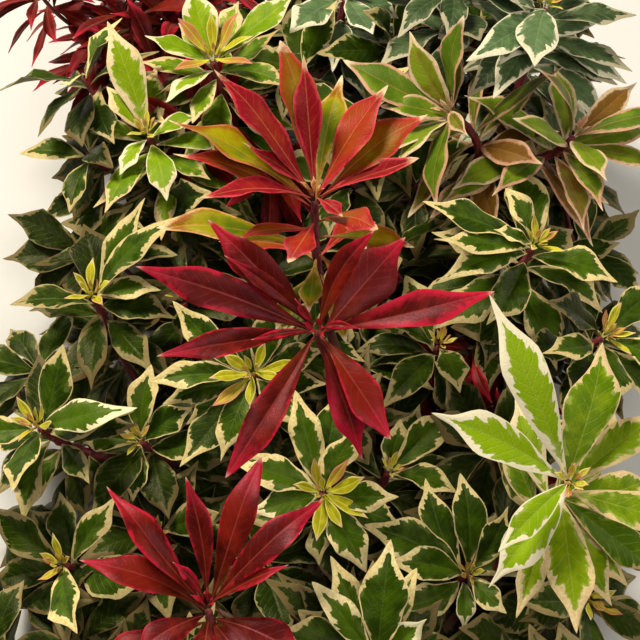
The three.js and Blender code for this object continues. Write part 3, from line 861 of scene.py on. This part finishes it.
def new_material(name):
    """A material without nodes, and the knot from which its nodes are added."""
    made = bpy.data.materials.new(name)
    made.use_nodes = True
    made.node_tree.nodes.clear()
    return made, Knot(made.node_tree)


def surface(knot, colour, roughness, height=None, depth=0.2, constants=None):
    """Principled surface with a bump depth in millimetres. Constants go on the shader's own sockets."""
    bump = None
    if height is not None:
        bump = knot.add("Bump", None, {"Strength": 1.0, "Distance": depth * MM, "Height": height})
    sockets = {"Base Color": colour, "Roughness": roughness, "Normal": bump, **(constants or {})}
    shader = knot.add("BsdfPrincipled", None, sockets)
    knot.add("OutputMaterial", None, {"Surface": shader})


Leaf = namedtuple("Leaf", "place along across edge u tint chance")
VEIN_SLANT = 1.15  # millimetres forward for each one outwards


def leaf_values(knot):
    """A leaf's own millimetres and marks: along it, across it, in from its margin, share of its length, tint.

    chance is a value of each leaf's own between -1 and 1, the sine of its place on the third axis.
    """
    place = knot.mark("leaf_place")
    along_it, across_it, own = place.parts()
    return Leaf(place, along_it, across_it, *knot.mark("leaf_mark").parts(), (own * 3.7).sine())


def vein_wave(leaf, spacing):
    """Sine over lines that slant forward from the midrib, 1 on a side vein and -1 half way to the next."""
    drift = leaf.place.noise(0.25, 1.0) * 1.6
    q = leaf.along - abs(leaf.across) * VEIN_SLANT + drift
    return (q * (2 * math.pi / spacing)).sine()


def rib_line(leaf, width, fade):
    """1 on the midrib, thinning out towards the point."""
    return (1 - abs(leaf.across).ramp(0.1, width)) * (1 - leaf.u * fade)


def burgundy_colour(leaf):
    """Dark wine red, browner at the foot, crimson towards the point and along parts of the margin."""
    patch = leaf.place.noise(0.12, 3.0)
    fine = leaf.place.noise(0.5, 3.0)
    centre = (patch + leaf.chance * 0.12).ramp(0.35, 0.7).blend((0.085, 0.004, 0.002), (0.19, 0.011, 0.004))
    brown = (1 - leaf.u.ramp(0.08, 0.5)) * 0.6 * (patch + leaf.chance * 0.1).ramp(0.3, 0.6)
    centre = brown.blend(centre, (0.15, 0.034, 0.003))
    reach = leaf.tint * leaf.tint * 6.5 + 0.2
    wide = leaf.edge - (fine - 0.5) * 4.0 * (leaf.tint + 0.3)
    margin = (1 - wide.ramp(reach * 0.1, reach)) * leaf.u.ramp(0.05, 0.6)
    margin = margin * (patch + leaf.tint * 0.3).ramp(0.5, 0.66)
    margin = margin.math("MAXIMUM", margin, (leaf.u + (fine - 0.5) * 0.25).ramp(0.66, 1.0) * 0.85)
    red = margin.blend(centre, (0.52, 0.009, 0.036))
    red = (rib_line(leaf, 0.4, 0.5) * 0.45).blend(red, (0.42, 0.07, 0.06))
    rim = (1 - (leaf.edge + fine * 0.3).ramp(0.15, 0.3)) * fine.ramp(0.42, 0.62)
    red = (rim * 0.5).blend(red, (0.56, 0.07, 0.07))
    return (leaf.u.ramp(0.95, 1.0) * 0.8).blend(red, (0.84, 0.42, 0.36))


TURNING_STOPS = [
    (0.0, (0.27, 0.006, 0.013)), (0.25, (0.38, 0.028, 0.010)), (0.45, (0.30, 0.055, 0.004)),
    (0.65, (0.27, 0.12, 0.002)), (0.82, (0.34, 0.30, 0.002)), (1.0, (0.12, 0.20, 0.003)),
]


def turning_colour(leaf):
    """From crimson at tint 0 through orange to lime at 1, redder towards the margin, with a cream point."""
    patch = leaf.place.noise(0.1, 3.0)
    fine = leaf.place.noise(0.6, 3.0)
    outward = (1 - (leaf.edge + (fine - 0.5) * 2.0).ramp(0.0, 3.6)) * 0.18 + leaf.u.ramp(0.5, 1.0) * 0.22
    hue = leaf.tint + (patch - 0.5) * 0.7 - outward
    body = hue.add("ValToRGB", {"stops": TURNING_STOPS}, {0: hue})
    yellowing = (leaf.tint + leaf.chance * 0.15).ramp(0.6, 0.95)
    margin_colour = yellowing.blend((0.70, 0.045, 0.075), (0.84, 0.50, 0.18))
    margin = (1 - (leaf.edge + (fine - 0.5) * 2.2).ramp(0.3, 1.4)) * patch.ramp(0.32, 0.52)
    body = (margin * 0.75).blend(body, margin_colour)
    rim = 1 - (leaf.edge + fine * 0.3).ramp(0.15, 0.3)
    body = (rim * fine.ramp(0.4, 0.6) * 0.6).blend(body, (0.86, 0.42, 0.22))
    body = (rib_line(leaf, 0.36, 0.6) * 0.55).blend(body, (0.66, 0.24, 0.10))
    tip = (leaf.u + (fine - 0.5) * 0.14 + leaf.chance * 0.02).ramp(0.88, 0.97)
    return (tip * (leaf.tint.ramp(0.1, 0.8) * 0.3 + 0.7)).blend(body, (0.90, 0.70, 0.42))


# greens and creams of an old leaf, also painted shade, a full-grown one and the freshest, the grey-green
# between, the margin's width, and how much it gains at the point
Variegation = namedtuple(
    "Variegation",
    "old_dark old_light dark light bright grey old_cream cream_low cream_high white margin point",
)
CREAM = Variegation(
    (0.008, 0.015, 0.001), (0.018, 0.031, 0.001), (0.020, 0.048, 0.001), (0.062, 0.125, 0.002),
    (0.085, 0.165, 0.003), (0.13, 0.17, 0.04), (0.12, 0.082, 0.030), (0.78, 0.57, 0.20), (0.93, 0.81, 0.42),
    (0.95, 0.88, 0.60), 0.25, 1.0,
)
FRESH = Variegation(
    (0.05, 0.11, 0.001), (0.10, 0.18, 0.002), (0.11, 0.21, 0.001), (0.23, 0.33, 0.002),
    (0.29, 0.46, 0.004), (0.38, 0.46, 0.10), (0.52, 0.36, 0.15), (0.70, 0.50, 0.22), (0.84, 0.68, 0.38),
    (0.95, 0.90, 0.68), 0.5, 0.3,
)
GREY = Variegation(
    (0.024, 0.042, 0.014), (0.048, 0.075, 0.022), (0.058, 0.110, 0.034), (0.13, 0.21, 0.08),
    (0.17, 0.26, 0.12), (0.26, 0.33, 0.18), (0.32, 0.27, 0.16), (0.72, 0.64, 0.42), (0.88, 0.84, 0.64),
    (0.92, 0.90, 0.76), 0.1, 0.8,
)


def variegated(tones):
    """Green with a jagged cream margin whose fingers follow the side veins, and grey-green patches between.

    The margin widens towards the point, where the green ends in a tongue along the midrib. The tint is the
    leaf's youth, lowered further as painted shade on low and inner leaves: under about a half, the green
    darkens and the cream turns tan.
    """
    def colour(leaf):
        q = leaf.along - abs(leaf.across) * VEIN_SLANT
        q = q.add("CombineXYZ", None, {0: q * 0.3, 1: leaf.across * 0.13, 2: leaf.chance * 40})
        fingers = q.add("TexNoise", None, {"Vector": q, "Scale": 1.0, "Detail": 1.5}) - 0.44
        patch = leaf.place.noise(0.16, 2.0)
        fine = leaf.place.noise(0.9, 3.0)
        # low tint, from age and from painted shade, darkens the green and tans the cream
        youth_and_light, freshest = leaf.tint.ramp(0.0, 0.5), leaf.tint.ramp(0.55, 0.9)
        outward = abs(leaf.across) / (leaf.edge + abs(leaf.across) + 0.01)
        tip = (leaf.u + leaf.chance * 0.06 + fingers * 0.3).ramp(0.6, 0.84)
        depth = tip * (outward * 4.0 + tones.point) + leaf.u.ramp(0.86, 0.95) * 3.0
        depth = depth + (patch - 0.5) * 3.6 + leaf.chance * 0.6 + tones.margin
        into = leaf.edge - fingers * 6.0
        cream_mask = 1 - into.ramp(depth - 0.18, depth + 0.18)
        rim = 1 - leaf.edge.ramp(0.3, 0.6)
        cream_mask = cream_mask.math("MAXIMUM", cream_mask, rim)
        veil = (1 - into.ramp(depth + 0.9, depth + 1.5)) * patch.ramp(0.46, 0.54)
        lightness = (patch + leaf.chance * 0.12).ramp(0.3, 0.7)
        green = (freshest * 0.7).blend(lightness.blend(tones.dark, tones.light), tones.bright)
        green = youth_and_light.blend(lightness.blend(tones.old_dark, tones.old_light), green)
        green = (veil * 0.7 * (youth_and_light * 0.7 + 0.3)).blend(green, tones.grey)
        green = (rib_line(leaf, 0.34, 0.45) * 0.45 * (youth_and_light * 0.8 + 0.2)).blend(green, tones.grey)
        cream = fine.ramp(0.25, 0.75).blend(tones.cream_low, tones.cream_high)
        cream = (freshest * 0.75).blend(cream, tones.white)
        cream = youth_and_light.blend(tones.old_cream, cream)
        return cream_mask.blend(green, cream)

    return colour


def olive_colour(leaf):
    """Olive green, browner where the leaf is old, with a narrow margin between rose and beige."""
    patch = leaf.place.noise(0.1, 3.0)
    fine = leaf.place.noise(0.6, 3.0)
    body = (patch + leaf.chance * 0.12).ramp(0.3, 0.7).blend((0.070, 0.135, 0.004), (0.19, 0.27, 0.012))
    brown = (1 - (leaf.tint + (patch - 0.5) * 0.5).ramp(0.5, 0.85)) * 0.85
    body = brown.blend(body, (0.20, 0.060, 0.012))
    rose = (fine + leaf.chance * 0.2).ramp(0.3, 0.8).blend((0.62, 0.31, 0.20), (0.82, 0.64, 0.40))
    margin = 1 - (leaf.edge + (fine - 0.5) * 2.4 - (patch - 0.4) * 3.0).ramp(0.6, 1.5)
    body = (margin * 0.85).blend(body, rose)
    body = (rib_line(leaf, 0.4, 0.6) * 0.5).blend(body, (0.45, 0.18, 0.08))
    return leaf.u.ramp(0.88, 0.98).blend(body, (0.84, 0.66, 0.44))


def young_colour(leaf):
    """Lime to amber, yellow at the foot, with a cream to rose margin."""
    patch = leaf.place.noise(0.3, 2.0)
    body = patch.ramp(0.3, 0.7).blend((0.38, 0.36, 0.004), (0.58, 0.54, 0.015))
    body = (leaf.tint.ramp(0.55, 1.0) * leaf.u.ramp(0.1, 0.7) * 0.9).blend(body, (0.50, 0.17, 0.06))
    edge_colour = leaf.tint.ramp(0.35, 0.9).blend((0.86, 0.74, 0.22), (0.76, 0.28, 0.18))
    margin = 1 - (leaf.edge + (patch - 0.5) * 0.8).ramp(0.3, 0.65)
    body = (margin * 0.85).blend(body, edge_colour)
    body = (rib_line(leaf, 0.35, 0.0) * 0.6).blend(body, (0.72, 0.66, 0.10))
    body = (1 - leaf.u.ramp(0.08, 0.3)).blend(body, (0.62, 0.62, 0.03))
    point_colour = leaf.tint.ramp(0.2, 0.9).blend((0.82, 0.56, 0.32), (0.62, 0.20, 0.15))
    return leaf.u.ramp(0.78, 0.97).blend(body, point_colour)


# upper colour, lower colour, colour and strength of the side veins and millimetres between them, relief
# in millimetres, roughness, specular and its tint
Finish = namedtuple("Finish", "colour under line lined veins relief rough specular gloss")
WAX = (1.0, 0.93, 0.55)
FINISHES = {
    "burgundy": Finish(
        burgundy_colour, (0.30, 0.05, 0.04), (0.40, 0.06, 0.06), 0.10, 4.4, 0.04, 0.40, 0.22,
        (1.0, 0.42, 0.52),
    ),
    "turning": Finish(
        turning_colour, (0.44, 0.20, 0.06), (0.64, 0.20, 0.09), 0.09, 4.4, 0.08, 0.42, 0.20,
        (1.0, 0.62, 0.48),
    ),
    "cream": Finish(
        variegated(CREAM), (0.34, 0.33, 0.13), (0.20, 0.27, 0.06), 0.12, 3.6, 0.11, 0.42, 0.18, WAX,
    ),
    "fresh": Finish(
        variegated(FRESH), (0.42, 0.44, 0.16), (0.52, 0.60, 0.16), 0.12, 4.6, 0.11, 0.42, 0.13, WAX,
    ),
    "grey": Finish(
        variegated(GREY), (0.34, 0.36, 0.20), (0.34, 0.42, 0.24), 0.16, 3.8, 0.14, 0.46, 0.24,
        (1.0, 0.97, 0.8),
    ),
    "olive": Finish(olive_colour, (0.36, 0.33, 0.12), (0.34, 0.36, 0.05), 0.10, 4.4, 0.10, 0.46, 0.18, WAX),
    "young": Finish(young_colour, (0.55, 0.46, 0.10), (0.72, 0.66, 0.12), 0.10, 2.4, 0.05, 0.46, 0.18, WAX),
}


def leaf_finish(kind):
    """Upper and lower face of a leaf. Above it is waxy, swollen between the veins, below paler and dull."""
    made = []
    finish = FINISHES[kind]
    for side in ("upper", "lower"):
        material, knot = new_material(f"{kind}_leaf_{side}")
        leaf = leaf_values(knot)
        veins = vein_wave(leaf, finish.veins)
        inside = leaf.edge.ramp(0.1, 2.2)
        vein = veins.ramp(0.72, 1.0) * inside
        net = leaf.place.add(
            "TexVoronoi", {"feature": "DISTANCE_TO_EDGE"}, {"Vector": leaf.place, "Scale": 0.8}
        ).ramp(0.0, 0.3)
        broken = leaf.place.noise(0.4, 2.0).ramp(0.3, 0.6)
        colour = (vein * broken * finish.lined).blend(finish.colour(leaf), finish.line)
        grain = leaf.place.noise(1.4, 4.0)
        if side == "upper":
            height = (1 - vein) * 0.5 + net * inside * 0.4 + grain * 0.3
            surface(knot, colour, grain * 0.24 + (finish.rough - 0.12), height, finish.relief,
                    {"Specular IOR Level": finish.specular, "Specular Tint": finish.gloss})
        else:
            pale = (grain * 0.4 + 0.35).blend(colour, finish.under)
            surface(knot, pale, grain * 0.2 + 0.5, vein + (1 - net) * 0.3 + grain * 0.4, 0.2,
                    {"Specular IOR Level": 0.1})
        made.append(material)
    return made


# ---------------------------------------------------------------- bark

# rings along a limb and sides round it, depth of the ridges in millimetres, leaf scars near the tip
Bark = namedtuple("Bark", "rings sides fissure scars")
STEM_BARK, BOUGH_BARK = Bark(330, 40, 0.5, 12), Bark(150, 26, 0.22, 16)
SHOOT_BARK, TWIG_BARK = Bark(90, 16, 0.07, 14), Bark(22, 8, 0.04, 0)
RIDGES = (5, 8, 13)  # how many run side by side round a limb, coarse to fine
SCAR_FROM_TIP, SCAR_STEP, SCAR_TURN = 4, 2.6, 2.4  # the turn is the golden angle in radians
SCAR_HEIGHT, SCAR_LONG, SCAR_WIDE = 0.55, 0.9, 1.2
CUT_RINGS = np.array([0.25, 0.5, 0.75, 0.93])  # shares of the radius on the cut face


def bark_limb(limb, bark, seed, cut=False):
    """A limb's bark: its radius with ridges that run along it, swollen where leaves stood, and closed ends.

    The ridges are a ripple of the angle that drifts along the limb. A scar is a low bump round one
    point, e^(-d²), and the scars climb by the golden angle.
    """
    rings, sides, fissure, scars = bark
    length = limb.distance[-1]
    s = np.linspace(0, length, rings)
    centre, toward, radius = along(limb, s)
    reference = np.cross(toward[0], toward[-1])
    if np.linalg.norm(reference) < 0.15:
        reference = np.array([1.0, 0, 0])
    side = unit(np.cross(np.cross(toward, unit(reference)), toward))
    other = np.cross(toward, side)
    angle = np.linspace(0, 2 * math.pi, sides, endpoint=False)[None]
    along_s = s[:, None]
    girth = radius[:, None] * angle
    ridge = 0
    for k, turns in enumerate(RIDGES):
        drift = ripple(along_s / (9 - 2 * k), seed + k) * 1.1
        ridge = ridge + (1 - np.abs(np.sin(turns * angle / 2 + drift))) / (1.5 + k)
    knobs = ripple(along_s / 5 + np.sin(angle + seed) * 1.5, seed + 0.7) * 0.4
    relief = fissure * (ridge - 0.6 + knobs)
    at = np.arange(scars) + 0.5
    scar_s = length - SCAR_FROM_TIP - at * SCAR_STEP
    scar_angle = (at * SCAR_TURN + seed) % (2 * math.pi)
    off = np.angle(np.exp(1j * (angle[..., None] - scar_angle))) * radius[:, None, None]
    reach = ((along_s[..., None] - scar_s) / SCAR_LONG) ** 2 + (off / SCAR_WIDE) ** 2
    relief = relief + (SCAR_HEIGHT * np.exp(-reach)).sum(axis=-1)
    outward = side[:, None] * np.cos(angle)[..., None] + other[:, None] * np.sin(angle)[..., None]
    ring = centre[:, None] + outward * (radius[:, None] + relief)[..., None]
    spread = np.stack(np.broadcast_arrays(along_s, girth, seed * 31.0), axis=-1)
    tone = np.stack(np.broadcast_arrays(relief, radius[:, None], along_s / length), axis=-1)
    if cut:
        flat = centre[0] + (ring[0] - centre[0])[None] * CUT_RINGS[:, None, None]
        ring = np.concatenate([flat, ring])
        spread = np.concatenate([np.broadcast_to(spread[0], flat.shape), spread])
        tone = np.concatenate([np.broadcast_to(tone[0], flat.shape), tone])
    end = centre[-1] + toward[-1] * radius[-1] * 0.6
    marks = {
        key: np.concatenate([rows.reshape(-1, 3), [rows[0].mean(axis=0), rows[-1].mean(axis=0)]])[None]
        for key, rows in (("limb_place", spread), ("limb_mark", tone))
    }
    made = skin(ring[None], centre[:1], end[None], marks, np.zeros(sides, int))
    if cut:
        wood = np.zeros(len(made.quads), int)
        wood[:len(CUT_RINGS) * sides] = 1
        ends = np.concatenate([np.ones(sides, int), np.zeros(sides, int)])
        made = made._replace(quad_slot=wood, fan_slot=ends)
    return made


def old_bark_finish():
    """Grey-brown bark in long thin flakes, darker in its furrows, turning maroon towards the young end."""
    material, knot = new_material("old_bark")
    place = knot.mark("limb_place")
    relief, radius, _ = knot.mark("limb_mark").parts()
    flakes = place.noise(0.5, 4.0, (0.25, 1.6, 1))
    grit = place.noise(2.2, 4.0)
    colour = flakes.ramp(0.35, 0.68).blend((0.085, 0.055, 0.035), (0.27, 0.205, 0.15))
    colour = ((1 - relief.ramp(-0.5, 0.25)) * 0.7).blend(colour, (0.045, 0.028, 0.018))
    colour = (grit.ramp(0.55, 0.75) * 0.25).blend(colour, (0.34, 0.32, 0.27))
    maroon = flakes.ramp(0.3, 0.7).blend((0.12, 0.014, 0.02), (0.27, 0.045, 0.05))
    colour = ((1 - radius.ramp(1.7, 3.2)) * 0.9).blend(colour, maroon)
    surface(knot, colour, flakes * 0.2 + 0.62, flakes * 0.7 + grit * 0.3, 0.5, {"Specular IOR Level": 0.15})
    return material


def young_bark_finish():
    """Smooth maroon bark with pale specks, browner towards the fork."""
    material, knot = new_material("young_bark")
    place = knot.mark("limb_place")
    relief, _, share = knot.mark("limb_mark").parts()
    streak = place.noise(0.6, 3.0, (0.3, 1.2, 1))
    specks = place.noise(2.4, 1.0, (0.6, 1.4, 1))
    colour = streak.ramp(0.3, 0.7).blend((0.080, 0.010, 0.018), (0.24, 0.034, 0.042))
    colour = ((1 - share.ramp(0.15, 0.65)) * 0.8).blend(colour, (0.14, 0.085, 0.05))
    colour = (relief.ramp(0.25, 0.5) * 0.5).blend(colour, (0.34, 0.16, 0.15))
    colour = (specks.ramp(0.66, 0.72) * 0.6).blend(colour, (0.34, 0.2, 0.14))
    surface(knot, colour, streak * 0.2 + 0.4, streak * 0.6 + specks * 0.4, 0.2, {"Specular IOR Level": 0.25})
    return material


def cut_wood_finish():
    """Pale end grain: a dark pith, rings round it and a darker line under the bark."""
    material, knot = new_material("cut_wood")
    place = knot.add("TexCoord", None, None, "Object")
    pith = (STEM_PATH[0] + PLAN_SHIFT) * MM
    centred = place.add("Mapping", {"vector_type": "TEXTURE"}, {"Vector": place, "Location": tuple(pith)})
    out = centred.add("VectorMath", {"operation": "LENGTH"}, {0: centred}, "Value") * (1 / MM)
    wobble = centred.noise(420, 3.0)
    rings = ((out + wobble * 0.5) * 7.5).sine().ramp(-0.2, 1.0)
    colour = rings.blend((0.62, 0.47, 0.27), (0.48, 0.32, 0.16))
    colour = (1 - out.ramp(0.4, 0.9)).blend(colour, (0.22, 0.12, 0.06))
    colour = out.ramp(6.0, 6.5).blend(colour, (0.12, 0.07, 0.04))
    surface(knot, colour, wobble * 0.2 + 0.65, rings * 0.6 + wobble * 0.4, 0.15)
    return material


def build_bark(twigs):
    """The stem and each bough as its own piece, the shoots as one more and the inner twigs as another."""
    old, young, wood = old_bark_finish(), young_bark_finish(), cut_wood_finish()
    stem = bark_limb(limbs["main_stem"], STEM_BARK, 0.31, cut=True)
    piece("main_stem_bark", stem, [old, wood], ["main_stem"])
    shoots = {}
    for k, (name, shoot) in enumerate(SHOOTS.items()):
        if name == "tip_far":
            continue
        if shoot.parent == "main_stem":
            bough = bark_limb(limbs[name], BOUGH_BARK, 0.7 + 0.37 * k)
            piece(f"bough_{name}_bark", bough, [old], [f"bough_{name}"])
        else:
            shoots[f"shoot_{name}"] = bark_limb(limbs[name], SHOOT_BARK, 0.5 + 0.41 * k)
    piece("young_shoots", laid_out(shoots.values()), [young], list(shoots))
    small = [bark_limb(limb, TWIG_BARK, 0.2 + 0.53 * k) for k, limb in enumerate(twigs)]
    piece("inner_twigs", laid_out(small), [young], list(shoots))


# ---------------------------------------------------------------- foliage


def bough_of(name):
    """The bough a limb grows on, or the main stem itself."""
    while name != "tip_far" and SHOOTS[name].parent != "main_stem":
        name = SHOOTS[name].parent
    return name


leaf_materials = {kind: leaf_finish(kind) for kind in KINDS}


def leaf_piece(name, kind, made, shoots):
    """Leaves of one kind as a piece that stands for the cushions of those shoots."""
    nodes = [f"leaves_{shoot}" for shoot in shoots]
    piece(name, made, leaf_materials[kind], nodes)


def build_whorls():
    """Every whorl: the listed leaves first, then the rest clear of them, and the young tips.

    Returns the points of the leaves, which later ones keep clear of.
    """
    whorls, placed = {}, {}
    taken = np.zeros((0, 3))
    for k, (name, shoot) in enumerate(SHOOTS.items()):
        rng = np.random.default_rng(SEED + k)
        heart, axis = np.array(shoot.heart, float), lean_vector(*shoot.lean)
        whorls[name] = Whorl(heart, axis, limbs[name], shoot.leaf, shoot.rise, shoot.skirt)
        placed[name] = leaf_rows(whorls[name], shoot.kind, PLACED.get(name, []), rng)
        if len(placed[name]):
            taken = np.concatenate([taken, feelers(placed[name]).reshape(-1, 3)])
    tips = {}
    for k, (name, shoot) in enumerate(SHOOTS.items()):
        rng = np.random.default_rng(SEED + 100 + k)
        whorl, by_hand = whorls[name], placed[name]
        full = round(shoot.count * (1 + shoot.skirt / RING_APART))
        count = UNDER.get(name, full - len(by_hand))
        # the fade darkens the lower leaves: painted shade as well as age, more for the shaded whorls
        fade, bare = SHADED_WHORL_FADE.get(name, AGE_AND_SHADE_FADE), OPEN.get(name, (0, 0))
        others, taken = grown(whorl, shoot.kind, count, len(by_hand), taken, rng, fade, bare)
        batches = (by_hand, PLACED_RINGS), (others, GROWN_RINGS)
        skins = [blades(rows, rings) for rows, rings in batches if len(rows)]
        leaf_piece(f"{name}_leaves", shoot.kind, laid_out(skins), [name])
        kind = "young" if shoot.kind in VARIEGATED else shoot.kind
        tips.setdefault(kind, {})[name] = leaf_rows(whorl, kind, young_rows(name, rng), rng)
    for kind, rows in tips.items():
        leaf_piece(f"{kind}_tips", kind, blades(np.concatenate(list(rows.values())), TIP_RINGS), rows)
    return taken


def build_inner_leaves(taken):
    """The inner twigs' leaves, clear of those already there. Returns the twigs, as limbs."""
    rng = np.random.default_rng(SEED + 200)
    twigs = inner_twigs(rng)
    inner = {}
    for name, whorl in twigs:
        red = name == RED_TWIGS or math.dist(whorl.heart[:2], RED_HOLLOW) < RED_REACH
        kind = "burgundy" if red else "cream"
        bough = name if name == RED_TWIGS else bough_of(name if name in SHOOTS else "tip_far")
        # inner leaves drop further in tint: painted shade under the crown as well as age
        rows, taken = grown(whorl, kind, TWIG_LEAVES + (RED_MORE if red else 0), 0, taken, rng, INNER_AGE_AND_SHADE_FADE)
        inner.setdefault((bough, kind), []).append(rows)
    for (bough, kind), rows in inner.items():
        leaf_piece(f"{bough}_inner_{kind}", kind, blades(np.concatenate(rows), INNER_RINGS), [bough])
    return [whorl.limb for _, whorl in twigs]


# ---------------------------------------------------------------- stage

CAMERA_ELEVATION, CAMERA_DISTANCE, CAMERA_LENS, CAMERA_SENSOR = 58.0, 0.711, 100.0, 36.0
CLIP_NEAR, CLIP_FAR = 0.02, 20
LOOK_AT = np.array([-0.002, -0.014, 0.1])
FLOOR_REACH = 3.0
SKY_COLOUR, SKY_STRENGTH = (1.0, 0.96, 0.90, 1), 0.035
# each light's place, size, power and colour
LIGHTS = {
    "key_light": ((-0.5, 0.55, 1.05), 0.4, 18.5, (1.0, 0.93, 0.78)),
    "fill_light": ((0.3, -0.6, 1.2), 0.5, 6, (1.0, 0.94, 0.84)),
    "side_light": ((1.1, 0.3, 0.5), 0.6, 4, (1.0, 0.95, 0.88)),
}


def build_stage():
    """Pale floor, camera, and three broad lights: behind on the left, weaker in front and on the right."""
    scene = bpy.context.scene
    mesh = bpy.data.meshes.new("floor")
    far = FLOOR_REACH
    mesh.from_pydata([(-far, -far, 0), (far, -far, 0), (far, far, 0), (-far, far, 0)], [], [(0, 1, 2, 3)])
    material, knot = new_material("pale_floor")
    surface(knot, (0.78, 0.77, 0.75), 0.9)
    mesh.materials.append(material)
    put("floor", mesh)

    for name, (place, size, power, colour) in LIGHTS.items():
        lamp = bpy.data.lights.new(name, "AREA")
        lamp.size, lamp.energy, lamp.color = size, power, colour
        light = put(name, lamp)
        light.location = place
        light.rotation_euler = Vector(LOOK_AT - np.array(place)).to_track_quat("-Z", "Y").to_euler()

    world = bpy.data.worlds.new("studio")
    world.use_nodes = True
    sky = world.node_tree.nodes["Background"].inputs
    sky["Color"].default_value, sky["Strength"].default_value = SKY_COLOUR, SKY_STRENGTH
    scene.world = world

    optics = bpy.data.cameras.new("camera")
    optics.lens, optics.sensor_width = CAMERA_LENS, CAMERA_SENSOR
    optics.clip_start, optics.clip_end = CLIP_NEAR, CLIP_FAR
    camera = put("camera", optics)
    tilt = math.radians(CAMERA_ELEVATION)
    camera.location = LOOK_AT + CAMERA_DISTANCE * np.array([0, -math.cos(tilt), math.sin(tilt)])
    camera.rotation_euler = (math.pi / 2 - tilt, 0, 0)
    scene.camera = camera
    scene.view_settings.view_transform = "Standard"
    scene.view_settings.look = "None"


build_bark(build_inner_leaves(build_whorls()))
build_stage()
